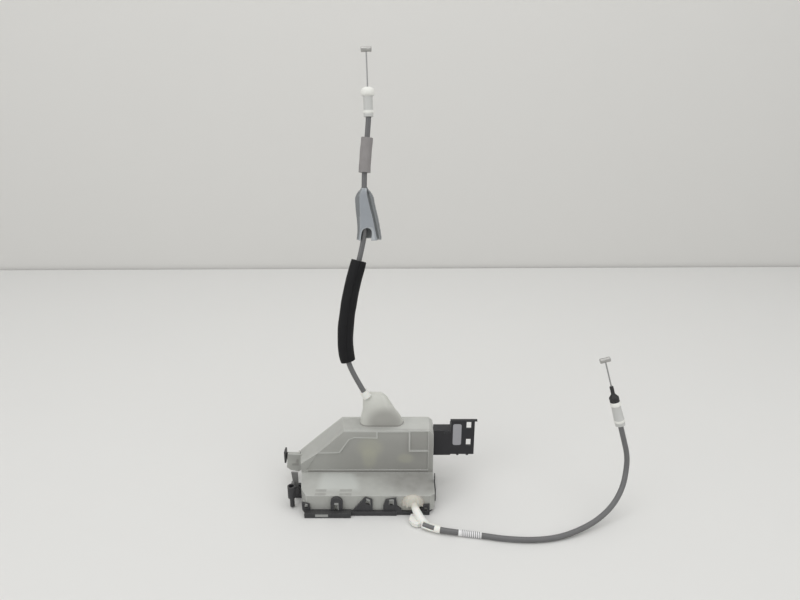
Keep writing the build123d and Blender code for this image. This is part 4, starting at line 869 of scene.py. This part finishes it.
def clip_windows(look, tree, position, tone):
    """Pale moulding that shows in the rail's slot, the arch and the clips' windows."""
    front = slab(tree, position, 1, -FAR, BLOCK_FRONT, 0.4 * MM)
    for corners in RAIL_WINDOWS:
        window = soft_patch(tree, position, corners, (0, 2), 0.5 * MM)
        tone = tint(tree, tone, math_node(tree, "MULTIPLY", window, front), 0.9, look.shown)
    return tone


def cover_rim(look, tree, position, tone):
    """The cover's milky wall round the back shell's top, slope and right side, and its arm at the left."""
    inner = soft_patch(tree, position, BACK_FIELD, (0, 2), 0.2 * MM)
    leg = soft_patch(tree, position, field((-0.0735, 0.018), (0.2, 0.2)), (0, 2), 0.2 * MM)
    rim = math_node(tree, "MULTIPLY", math_node(tree, "SUBTRACT", 1.0, inner), leg)
    arm = soft_patch(tree, position, field((-0.0812, 0.005), (-0.060, 0.040)), (0, 2), 0.2 * MM)
    return tint(tree, tone, math_node(tree, "MAXIMUM", rim, arm), 1.0, look.milky)


def painted_light_on_plate(tree, position, tone):
    """Painted light: the key plate is painted paler where it rises beside the flange and its upper part
    faces up to the light.
    """
    upper = slab(tree, position, 2, 0.0150, FAR, 4.0 * MM)
    return tint(tree, tone, upper, 0.8, (0.19, 0.19, 0.185))


class LOCK_OT_black_mouldings(bpy.types.Operator):
    """Finish the latch block, back shell, socket, levers and switches"""
    bl_idname = "door_lock.black_mouldings"
    bl_label = "Black Mouldings"

    def execute(self, context):
        look = context.scene.lock_black
        dusty = {"dust": look.dust, "dust_amount": 0.16}
        moulded = {"grain": 2600.0, "relief": 0.22, "spread": 0.16}
        housing = finish("glass_filled_black", look.housing, 0.50, edge=look.worn,
                         paint=partial(clip_windows, look), **moulded, **dusty)
        shell = finish("back_shell_black", look.housing, 0.50,
                       paint=partial(cover_rim, context.scene.lock_case), **moulded, **dusty)
        grey = finish("dark_grey_lever", (0.060, 0.060, 0.063), 0.50, grain=2200.0, relief=0.14,
                      edge=look.worn, paint=painted_light_on_plate, **dusty)
        rubber = finish("black_rubber", (0.022, 0.022, 0.022), 0.72, grain=1500.0, relief=0.16, spread=0.10)
        dress(("latch_housing", "rod_socket", "claw_switch", "lock_switch"), housing)
        dress(("actuator_base",), shell)
        dress(("key_lever", "key_lever_pin"), grey)
        dress(("striker_bumper", "claw_skin"), rubber)
        return {"FINISHED"}


class LOCK_OT_drive(bpy.types.Operator):
    """Finish the motor's cap, worm, wheel, lock lever and brass tracks"""
    bl_idname = "door_lock.drive"
    bl_label = "Drive"

    def execute(self, context):
        look = context.scene.lock_black
        brass_tone = context.scene.lock_metal.brass
        cream = finish("acetal_cream", look.cream, 0.38, grain=1900.0, relief=0.05, edge=(0.85, 0.82, 0.66),
                       Subsurface_Weight=0.15, Subsurface_Scale=0.002)
        white = finish("acetal_white", look.white, 0.40, grain=1900.0, relief=0.05)
        brass = finish("stamped_brass", brass_tone, 0.30, grain=1100.0, relief=0.08, spread=0.14,
                       Metallic=1.0)
        dress(("worm_wheel", "lock_lever"), cream)
        dress(("motor_end_cap",), white)
        dress(("worm", "lead_frame"), brass)
        return {"FINISHED"}


def seen_through_and_shade(look, tree, position, tone):
    """Painted shade of the hollow and of the right of the leg and ledge, the gears, the white trap and the
    grips, and the guide's cream near the front.
    """
    # The shadow spots are painted shade; the ghost spots are the gears seen through the wall
    for centre, reach, colour, share in SEEN_THROUGH_AND_PAINTED_SHADE:
        spot = soft_spot(tree, position, centre, reach)
        tone = tint(tree, tone, spot, share, getattr(look, colour))
    top = slab(tree, position, 2, *LEDGE_TOP, 0.6 * MM)
    trap = soft_patch(tree, position, PALE_TRAP, (0, 1), 9.0 * MM)
    tone = tint(tree, tone, math_node(tree, "MULTIPLY", trap, top), 0.54, look.pale)
    for corners in GRIP_BANDS:
        band = soft_patch(tree, position, corners, (0, 1), 1.2 * MM)
        tone = tint(tree, tone, math_node(tree, "MULTIPLY", band, top), 0.60, look.shadow)
    near_guide = soft_spot(tree, position, (0.0454, -0.033, 0.010), (0.017, 0.010, 0.015), hard=0.7)
    return tint(tree, tone, near_guide, 0.60, (0.60, 0.575, 0.50))


def painted_light_on_mouldings(look, tree, position, tone):
    """Painted shade in the flange's pocket, painted highlights on the leg's ribs, a painted shadow line at
    its foot, and painted light and shade on its top and slope.
    """
    # Painted shade in the flange's pocket
    for corners in FLANGE_POCKET_SHADE:
        pocket = soft_patch(tree, position, corners, (0, 2), 1.2 * MM)
        tone = tint(tree, tone, pocket, 0.60, look.shadow)
    front = slab(tree, position, 1, *LEG_FRONT, 0.4 * MM)
    # Painted highlights along the ribs, and a painted shadow line at the leg's foot
    lines = [(line, 1.2 * MM, 0.55, look.edge) for line in RIB_HIGHLIGHTS]
    lines.append((LEG_FOOT_SHADOW, 2.4 * MM, 0.85, look.shadow))
    for line, width, share, colour in lines:
        mark = math_node(tree, "MULTIPLY", stroke(tree, position, line, width), front)
        tone = tint(tree, tone, mark, share, colour)
    # Painted light and shade on the top and slope behind the leg's front: darker at the left, lighter at
    # the right
    behind = soft_patch(tree, position, field((0.0085, 0.0240), (FAR, FAR)), (1, 2), 2.0 * MM)
    for left, right, share, colour in ((-FAR, 0.020, 0.16, look.shadow), (0.030, FAR, 0.36, look.edge)):
        part = slab(tree, position, 0, left, right, 14.0 * MM)
        tone = tint(tree, tone, math_node(tree, "MULTIPLY", behind, part), share, colour)
    return tone


def cover_tones(look, tree, position, tone):
    """What shows through the cover and painted shade, then painted light and shade on its mouldings."""
    return painted_light_on_mouldings(look, tree, position, seen_through_and_shade(look, tree, position, tone))


def hood_painted_shade(look, tree, position, tone):
    """Painted shade in the hood's middle and right, and a painted shadow line at its foot."""
    # Painted shade: the hood is darker in its middle and right
    hollow = soft_spot(tree, position, (0.019, 0.013, 0.073), (0.024, 0.012, 0.019))
    tone = tint(tree, tone, hollow, 0.62, look.shadow)
    seam = slab(tree, position, 2, *HOOD_SEAM_SHADOW, 0.8 * MM)
    return tint(tree, tone, seam, 0.70, look.shadow)


class LOCK_OT_milky_case(bpy.types.Operator):
    """Finish the translucent cover and make the paler hood"""
    bl_idname = "door_lock.milky_case"
    bl_label = "Milky Case"

    def execute(self, context):
        look = context.scene.lock_case
        # Painted light: the edge colour marks highlights on the cover's edges, and as dust it lightens the
        # faces that look up
        cover = finish("milky_cover", look.milky, look.roughness, grain=1500.0, relief=0.05, spread=0.06,
                       patch=45.0, edge=look.edge, edge_width=0.9 * MM, dust=look.edge, dust_amount=0.45,
                       paint=partial(cover_tones, look), Transmission_Weight=look.see_through, IOR=1.40)
        hood = finish("pale_milky_hood", look.hood, look.roughness, grain=1500.0, relief=0.05, spread=0.07,
                      patch=50.0, edge=(0.80, 0.80, 0.75), paint=partial(hood_painted_shade, look),
                      Transmission_Weight=0.15, IOR=1.40)
        dress(("actuator_cover",), cover)
        rings = []
        for height, left, right, front, back, radius in blended(HOOD_ROWS, 5):
            outline = rounded_outline((left * MM, front * MM), (right * MM, back * MM), radius * MM)
            rings.append([Vector((x, y, height * MM)) for x, y in outline])
        seat(lofted("tapered_hood", rings, hood), "root", "milky_plastic", "cable_hood")
        return {"FINISHED"}


class LOCK_OT_connector(bpy.types.Operator):
    """Make the wire connector with its pins and its bare label"""
    bl_idname = "door_lock.connector"
    bl_label = "Connector"

    def execute(self, context):
        look = context.scene.lock_black
        shell = finish("connector_black", look.connector, 0.44, grain=2400.0, relief=0.12, spread=0.12,
                       edge=look.worn)
        moulding = carved("connector_body", CONNECTOR_STEPS, shell)
        seat(moulding, "root", "black_plastic", "connector_shroud")
        pins = carved("contact_pins", PIN_STEPS, bpy.data.materials["stamped_brass"])
        seat(pins, "root", "brass", "connector_pins")
        paper = finish("bare_label_film", look.label, 0.55, grain=1200.0, relief=0.03, spread=0.03)
        label = rounded_plate("connector_label", LABEL_LOW, LABEL_HIGH, LABEL_CORNER, 0.2 * MM, LABEL_FACE,
                              paper)
        seat(label, "root", "label_film")
        return {"FINISHED"}


def cream_cap_with_highlight(tree, position, tone):
    """The cap is creamier than the arm, with a painted highlight in the middle of its dome."""
    cap = soft_patch(tree, position, field((-0.0362, 0.0096), (FAR, 0.0300)), (1, 2), 1.5 * MM)
    tone = tint(tree, tone, cap, 0.9, (0.44, 0.42, 0.365))
    # Painted highlight at the top of the dome
    dome = soft_spot(tree, position, (0.0460, -0.0350, 0.0165), (0.0095, 0.008, 0.0075))
    return tint(tree, tone, dome, 0.8, (0.60, 0.58, 0.51))


class LOCK_OT_cable_guide(bpy.types.Operator):
    """Make the white guide and finish the hood's collar"""
    bl_idname = "door_lock.cable_guide"
    bl_label = "Cable Guide"

    def execute(self, context):
        white = finish("guide_white", context.scene.lock_black.white, 0.42, grain=1700.0, relief=0.05,
                       spread=0.04, paint=cream_cap_with_highlight, Subsurface_Weight=0.1, Subsurface_Scale=0.002)
        dress(("hood_collar",), white)
        rows = blended(GUIDE_ARM, 6)
        arm = round_bar("arm", [Vector(row[:3]) * MM for row in rows], [row[3] * MM for row in rows], white)
        outlines = [[Vector((x, y, z)) * MM for x, y in GUIDE_FOOT] for z in GUIDE_FOOT_HEIGHTS]
        foot = lofted("foot", outlines, white, smooth=False)
        guide = joined("fan_guide", [self.cap(white), arm, foot, self.tube(white)])
        seat(guide, "root", "white_plastic", "outer_cable_guide")
        return {"FINISHED"}

    def cap(self, white):
        """A dome over the ledge's edge, whose pleats droop at its rim."""
        x, y, z = CAP_FOOT
        wide, deep = CAP_REACH
        rings = []
        for step in range(15):
            lift = step / 14
            share = math.sqrt(1 - lift ** 2.4) if step < 14 else 0.08
            ring = []
            for turn in (math.tau * k / 96 for k in range(96)):
                pleat = math.cos(CAP_PLEATS * turn)
                droop = 1.1 * (1 - lift) ** 3 * max(0.0, pleat)
                ring.append(Vector((x + wide * share * (1 + 0.035 * pleat) * math.cos(turn),
                                    y + deep * share * (1 + 0.07 * pleat) * math.sin(turn),
                                    z + CAP_HEIGHT * lift - droop)) * MM)
            rings.append(ring)
        return lofted("cap", rings, white)

    def tube(self, white):
        """The tube round the sheath, with a slot that faces up and forwards."""
        bore, cut, wall = 2.1 * MM, 2.2 * MM, 3.4 * MM

        def outside(share, angle):
            slot = 0.03 < share < 0.70 and abs(math.degrees(angle) - 230) < 52
            return cut if slot else wall

        line = stretch_of(centreline(OUTER_ROUTE), 0, GUIDE_TUBE_SPAN, 40)
        return swept("tube", line, bore, outside, white, sides=72)


def strand(name, start, direction, length, radius, material, wires=6, lay=9.0 * MM):
    """A twisted strand: wires that wind round its axis, swept by a node tree."""
    tree = bpy.data.node_groups.new("wire_strand", "GeometryNodeTree")
    for label, kind in (("Lay Radius", "NodeSocketFloat"), ("Wire Radius", "NodeSocketFloat"),
                        ("Length", "NodeSocketFloat"), ("Turns", "NodeSocketFloat"),
                        ("Material", "NodeSocketMaterial")):
        tree.interface.new_socket(label, in_out="INPUT", socket_type=kind)
    tree.interface.new_socket("Geometry", in_out="OUTPUT", socket_type="NodeSocketGeometry")
    given = add(tree, "NodeGroupInput")
    out = add(tree, "NodeGroupOutput")
    gather = add(tree, "GeometryNodeJoinGeometry")
    section = add(tree, "GeometryNodeCurvePrimitiveCircle")
    section.inputs["Resolution"].default_value = 8
    tree.links.new(given.outputs["Wire Radius"], section.inputs["Radius"])
    for index in range(wires):
        helix = add(tree, "GeometryNodeCurveSpiral")
        helix.inputs["Resolution"].default_value = 24
        tree.links.new(given.outputs["Turns"], helix.inputs["Rotations"])
        tree.links.new(given.outputs["Lay Radius"], helix.inputs["Start Radius"])
        tree.links.new(given.outputs["Lay Radius"], helix.inputs["End Radius"])
        tree.links.new(given.outputs["Length"], helix.inputs["Height"])
        phase = add(tree, "GeometryNodeTransform")
        phase.inputs["Rotation"].default_value = (0.0, 0.0, math.tau * index / wires)
        tree.links.new(helix.outputs[0], phase.inputs["Geometry"])
        wire = add(tree, "GeometryNodeCurveToMesh")
        wire.inputs["Fill Caps"].default_value = True
        tree.links.new(phase.outputs[0], wire.inputs["Curve"])
        tree.links.new(section.outputs[0], wire.inputs["Profile Curve"])
        tree.links.new(wire.outputs[0], gather.inputs[0])
    real = add(tree, "GeometryNodeRealizeInstances")
    coat = add(tree, "GeometryNodeSetMaterial")
    tree.links.new(gather.outputs[0], real.inputs[0])
    tree.links.new(real.outputs[0], coat.inputs["Geometry"])
    tree.links.new(given.outputs["Material"], coat.inputs["Material"])
    tree.links.new(coat.outputs[0], out.inputs[0])

    holder = bpy.data.objects.new(name, bpy.data.meshes.new(name))
    bpy.context.scene.collection.objects.link(holder)
    modifier = holder.modifiers.new("strand", "NODES")
    modifier.node_group = tree
    sizes = {"Lay Radius": radius * 2 / 3, "Wire Radius": radius / 3, "Length": length,
             "Turns": length / lay, "Material": material}
    for item in tree.interface.items_tree:
        if item.name in sizes:
            modifier[item.identifier] = sizes[item.name]
    bpy.context.view_layer.update()
    made = bpy.data.meshes.new_from_object(holder.evaluated_get(bpy.context.evaluated_depsgraph_get()))
    holder.modifiers.remove(modifier)
    side, other = across(direction)
    for vertex in made.vertices:
        x, y, z = vertex.co
        vertex.co = start + side * x + other * y + direction * z
    made.shade_smooth()
    holder.data = made
    return holder


def barrel(name, centre, axis, radius, length, material):
    """A barrel nipple with chamfered ends and a shallow waist."""
    half, chamfer, step = length / 2, 0.45 * MM, 0.2 * MM
    waist = radius * 0.95
    profile = ((-half, radius - chamfer), (-half + chamfer, radius), (-half / 3, radius),
               (-half / 3 + step, waist), (half / 3 - step, waist), (half / 3, radius),
               (half - chamfer, radius), (half, radius - chamfer))
    return turned(name, centre, axis, profile, material)


def bare_end(cable, start, direction, bare, radius):
    """The strand past an end fitting, and the nipple across its far end."""
    metal = bpy.context.scene.lock_metal
    near, length, far = bare
    steel = finish(f"{cable}_strand", metal.wire, 0.32, grain=2500.0, relief=0.05, Metallic=1.0)
    wire = strand(f"{cable}_wire", start + direction * near * MM, direction, length * MM, radius, steel)
    zinc = finish(f"{cable}_nipple_zinc", metal.nipple, 0.40, grain=1300.0, relief=0.10, spread=0.12,
                  Metallic=0.9)
    side, _ = across(direction)
    middle = start + direction * far * MM
    knob = barrel(f"{cable}_nipple", middle, side, NIPPLE_RADIUS * MM, NIPPLE_LENGTH * MM, zinc)
    return wire, knob


def grey_bands(bands, tree, position, tone):
    """A greyer tone across the bands where a fitting's wall is thin."""
    for corners in bands:
        band = soft_patch(tree, position, corners, (0, 2), 0.8 * MM)
        tone = tint(tree, tone, band, 0.8, (0.46, 0.465, 0.455))
    return tone


def fitting_finish(name, start, direction, thin):
    """White end fitting with thin-walled bands, given in millimetres along it."""
    bands = [end_band(start, direction, near, far) for near, far in thin]
    return finish(name, bpy.context.scene.lock_black.white, 0.40, grain=1900.0, relief=0.05, spread=0.05,
                  paint=partial(grey_bands, bands))


def sheath_material(look):
    """Satin grey conduit, a little uneven in tone."""
    return finish("conduit_grey", look.sheath_colour, 0.42, grain=1600.0, relief=0.10, spread=0.10,
                  patch=120.0)


class LOCK_OT_inner_cable(bpy.types.Operator):
    """Make the upper cable: sheath, foam sleeves, clip, fitting, wire and nipple"""
    bl_idname = "door_lock.inner_cable"
    bl_label = "Inner Cable"

    def execute(self, context):
        look = context.scene.lock_cables
        points = centreline(INNER_ROUTE)
        sheath = route_spline("inner_sheath", INNER_ROUTE, look.sheath / 2)
        sheath.data.materials.append(sheath_material(look))
        seat(sheath, "root", "sheath", "inner_cable_sheath")
        pieces = [self.black_sleeve(look, points), self.grey_sleeve(look, points),
                  self.folded_clip(look, points), self.fitting()]
        wire, knob = bare_end("inner", Vector(INNER_ROUTE[-1]), INNER_END, INNER_BARE, look.wire)
        seat(wire, "inner_wire", "wire", "inner_cable_core")
        seat(knob, "inner_wire", "nipple_zinc", "inner_cable_nipple")
        return {"FINISHED"}

    def black_sleeve(self, look, points):
        """Foam tube, a little crushed, with the line of its slit."""
        def outside(share, angle):
            spot = Vector((math.cos(angle) * 1.6, math.sin(angle) * 1.6, share * 7.0))
            crease = 0.05 * noise.noise(spot)
            slit = 0.10 * math.exp(-((math.degrees(angle) - 285) / 7.0) ** 2)
            mouth = 0.05 * (math.exp(-share * 30) + math.exp(-(1 - share) * 30))
            return look.black_foam * (0.97 + crease - slit - mouth)

        foam = finish("black_foam", look.black_foam_colour, 0.62, grain=1100.0, relief=0.45, spread=0.25,
                      patch=160.0, dust=(0.16, 0.16, 0.16), dust_amount=0.05, Specular_IOR_Level=0.2)
        line = stretch_of(points, 2, BLACK_FOAM_SPAN, 60)
        sleeve = swept("foam_sleeve", line, look.sheath / 2, outside, foam)
        return seat(sleeve, "root", "black_foam", "black_foam_sleeve")

    def grey_sleeve(self, look, points):
        """Short foam wrap, slightly lopsided, with an overlap."""
        def outside(share, angle):
            spot = Vector((math.cos(angle) * 2.0 + 4.0, math.sin(angle) * 2.0, share * 4.0))
            dent = 0.035 * noise.noise(spot)
            lap = 0.036 * math.exp(-((math.degrees(angle) - 240) / 9.0) ** 2)
            return look.grey_foam * (0.96 + dent + lap)

        foam = finish("grey_foam", look.grey_foam_colour, 0.70, grain=1000.0, relief=0.40, spread=0.12,
                      patch=150.0)
        line = stretch_of(points, 2, GREY_FOAM_SPAN, 24)
        sleeve = swept("grey_wrap", line, look.sheath / 2, outside, foam)
        return seat(sleeve, "root", "grey_foam", "grey_foam_sleeve")

    def folded_clip(self, look, points):
        """Sheet folded round the cable: front panel with an arched foot, left flank and right wing."""
        rows = 40
        form = blended(CLIP_ROWS, 8)
        vertices, faces, shades = [], [], []
        for row, point in enumerate(stretch_of(points, 2, CLIP_SPAN, rows)):
            left, right, panel_left, panel_right = form[round(row * (len(form) - 1) / rows)]
            rise = row / rows * CLIP_HEIGHT
            half = max(0.05, ARCH_HALF_WIDTH * math.sqrt(max(0.0, 1 - (rise / ARCH_TOP) ** 5)))
            deep = 1.0 - 0.35 * max(0.0, (rise - CLIP_HEIGHT + CLIP_CLOSING) / CLIP_CLOSING) ** 2
            section = (
                (left, 3.0), (left + 0.2, -0.6), (panel_left, -2.6), (panel_left + 0.7, -4.4),
                (ARCH_MIDDLE - half, -4.5), (ARCH_MIDDLE + half, -4.5), (panel_right - 0.5, -4.2),
                (panel_right + 0.3, -0.6), (panel_right + 0.6 * (right - panel_right), -1.6),
                (right, -1.4), (right + 0.1, 2.6), (0.6 * right, 4.2), (0.5 * left, 4.2),
            )
            vertices += [point + Vector((x, y * deep, 0.0)) * MM for x, y in section]
        wide, panel, arch = len(section), (2, 3, 4, 5), 4
        for row, i in itertools.product(range(rows), range(wide)):
            if i == arch and row / rows * CLIP_HEIGHT < ARCH_TOP:
                continue
            a, b = row * wide + i, row * wide + (i + 1) % wide
            faces.append((a, b, b + wide, a + wide))
            shades.append(0 if i in panel else 1)
        plastic = finish("folded_clip_plastic", look.clip_colour, 0.44, grain=1500.0, relief=0.10,
                         spread=0.10, edge=(0.46, 0.49, 0.51), edge_width=0.5 * MM)
        flank = finish("folded_clip_flank", (0.175, 0.185, 0.19), 0.48, grain=1500.0, relief=0.10,
                       spread=0.10, edge=(0.36, 0.38, 0.39), edge_width=0.4 * MM)
        clip = mesh_piece("folded_clip", vertices, faces, plastic)
        clip.data.materials.append(flank)
        for polygon, shade in zip(clip.data.polygons, shades):
            polygon.material_index = shade
        sheet = clip.modifiers.new("sheet", "SOLIDIFY")
        sheet.thickness = 0.8 * MM
        sheet.offset = -1.0
        return seat(clip, "root", "blue_grey_plastic", "trim_clip")

    def fitting(self):
        """End fitting: lower ring, thin-walled body and a wide domed head."""
        profile = in_metres((
            (0.0, 3.6), (0.3, 4.4), (3.4, 4.5), (3.8, 4.9), (5.9, 4.9), (6.3, 4.3),
            (18.2, 4.3), (18.8, 5.6), (19.6, 6.2), (23.4, 6.2), (25.2, 5.0), (26.0, 3.2)))
        thin = ((-1.0, 3.5), (6.2, 18.5))
        white = fitting_finish("inner_fitting_white", INNER_ROUTE[-1], INNER_END, thin)
        piece = turned("inner_fitting", Vector(INNER_ROUTE[-1]), INNER_END, profile, white)
        return seat(piece, "root", "white_plastic", "inner_cable_ferrule")


def even_stripes(tree, position, tone):
    """Plain even stripes across the sleeve, with both of its ends left pale."""
    bands = add(tree, "ShaderNodeTexWave", bands_direction="X")
    bands.inputs["Scale"].default_value = 170.0
    tree.links.new(position, bands.inputs["Vector"])
    dark = math_node(tree, "GREATER_THAN", bands.outputs["Fac"], 0.5)
    middle = slab(tree, position, 0, *STRIPED_FIELD, 0.2 * MM)
    return tint(tree, tone, math_node(tree, "MULTIPLY", dark, middle), 0.72, (0.12, 0.12, 0.13))


class LOCK_OT_outer_cable(bpy.types.Operator):
    """Make the right cable: sheath, striped sleeve, fitting, boot, wire and nipple"""
    bl_idname = "door_lock.outer_cable"
    bl_label = "Outer Cable"

    def execute(self, context):
        look = context.scene.lock_cables
        sheath = route_spline("outer_sheath", OUTER_ROUTE, look.sheath / 2)
        sheath.data.materials.append(bpy.data.materials["conduit_grey"])
        seat(sheath, "root", "sheath", "outer_cable_sheath")
        pieces = [self.striped_sleeve(), self.fitting(), self.boot()]
        wire, knob = bare_end("outer", Vector(OUTER_ROUTE[-1]), OUTER_END, OUTER_BARE, look.wire)
        seat(wire, "outer_wire", "wire", "outer_cable_core")
        seat(knob, "outer_wire", "nipple_zinc", "outer_cable_nipple")
        return {"FINISHED"}

    def striped_sleeve(self):
        """Pale film with plain even stripes across it."""
        film = finish("striped_film", (0.78, 0.78, 0.78), 0.36, grain=900.0, relief=0.02, spread=0.03,
                      paint=even_stripes)
        line = stretch_of(centreline(OUTER_ROUTE), 0, STRIPED_SPAN, 16)
        sleeve = swept("striped_sleeve", line, 2.5 * MM, lambda share, angle: 2.85 * MM, film)
        return seat(sleeve, "root", "label_film", "cable_label_sleeve")

    def fitting(self):
        """End fitting: lower rings, a tapering body and a rim under the boot."""
        profile = in_metres((
            (0.0, 3.6), (0.3, 4.5), (4.0, 4.7), (4.4, 5.0), (6.4, 5.0),
            (7.0, 4.7), (19.8, 4.3), (20.4, 4.8), (23.4, 4.8), (24.0, 4.4)))
        thin = ((-1.0, 4.1), (6.7, 20.2))
        white = fitting_finish("outer_fitting_white", OUTER_ROUTE[-1], OUTER_END, thin)
        piece = turned("outer_fitting", Vector(OUTER_ROUTE[-1]), OUTER_END, profile, white)
        return seat(piece, "root", "white_plastic", "outer_cable_ferrule")

    def boot(self):
        """Boot with a ribbed band, a sloping shoulder and a narrow neck."""
        profile = in_metres((
            (0.0, 4.2), (0.3, 4.5), (1.5, 4.5), (1.8, 4.25), (2.3, 4.25), (2.6, 4.5),
            (4.5, 4.5), (5.0, 4.2), (7.6, 2.1), (8.4, 1.8), (14.9, 1.8), (15.5, 1.5)))
        rubber = finish("boot_rubber", (0.016, 0.016, 0.017), 0.46, grain=1500.0, relief=0.12, spread=0.12)
        start = Vector(OUTER_ROUTE[-1]) + OUTER_END * BOOT_START * MM
        piece = turned("outer_boot", start, OUTER_END, profile, rubber)
        return seat(piece, "root", "black_rubber_boot", "outer_cable_boot")


class LOCK_PT_panel(bpy.types.Panel):
    """Lists the pieces of the door lock and their sizes and colours"""
    bl_idname = "LOCK_PT_panel"
    bl_label = "Door Lock"
    bl_space_type = "VIEW_3D"
    bl_region_type = "UI"
    bl_category = "Door Lock"

    def draw(self, context):
        for operator in OPERATORS:
            self.layout.operator(operator.bl_idname)
        for attribute, group in LOOKS.items():
            box = self.layout.box()
            box.label(text=group.__doc__)
            look = getattr(context.scene, attribute)
            for name in group.__annotations__:
                box.prop(look, name)


OPERATORS = (LOCK_OT_stage, LOCK_OT_steel, LOCK_OT_black_mouldings, LOCK_OT_drive, LOCK_OT_milky_case,
             LOCK_OT_connector, LOCK_OT_cable_guide, LOCK_OT_inner_cable, LOCK_OT_outer_cable)
LOOKS = {"lock_case": LockCaseLook, "lock_black": LockBlackLook, "lock_metal": LockMetalLook,
         "lock_cables": LockCableSizes, "lock_studio": LockStudio}


def register():
    for group in LOOKS.values():
        bpy.utils.register_class(group)
    for attribute, group in LOOKS.items():
        setattr(bpy.types.Scene, attribute, PointerProperty(type=group))
    for made in (*OPERATORS, LOCK_PT_panel):
        bpy.utils.register_class(made)


def unregister():
    for made in (LOCK_PT_panel, *reversed(OPERATORS)):
        bpy.utils.unregister_class(made)
    for attribute in LOOKS:
        delattr(bpy.types.Scene, attribute)
    for group in reversed(LOOKS.values()):
        bpy.utils.unregister_class(group)


def main():
    register()
    bpy.context.scene.view_settings.view_transform = "Standard"
    for operator in OPERATORS:
        group, name = operator.bl_idname.split(".")
        getattr(getattr(bpy.ops, group), name)()


if __name__ == "__main__":
    main()
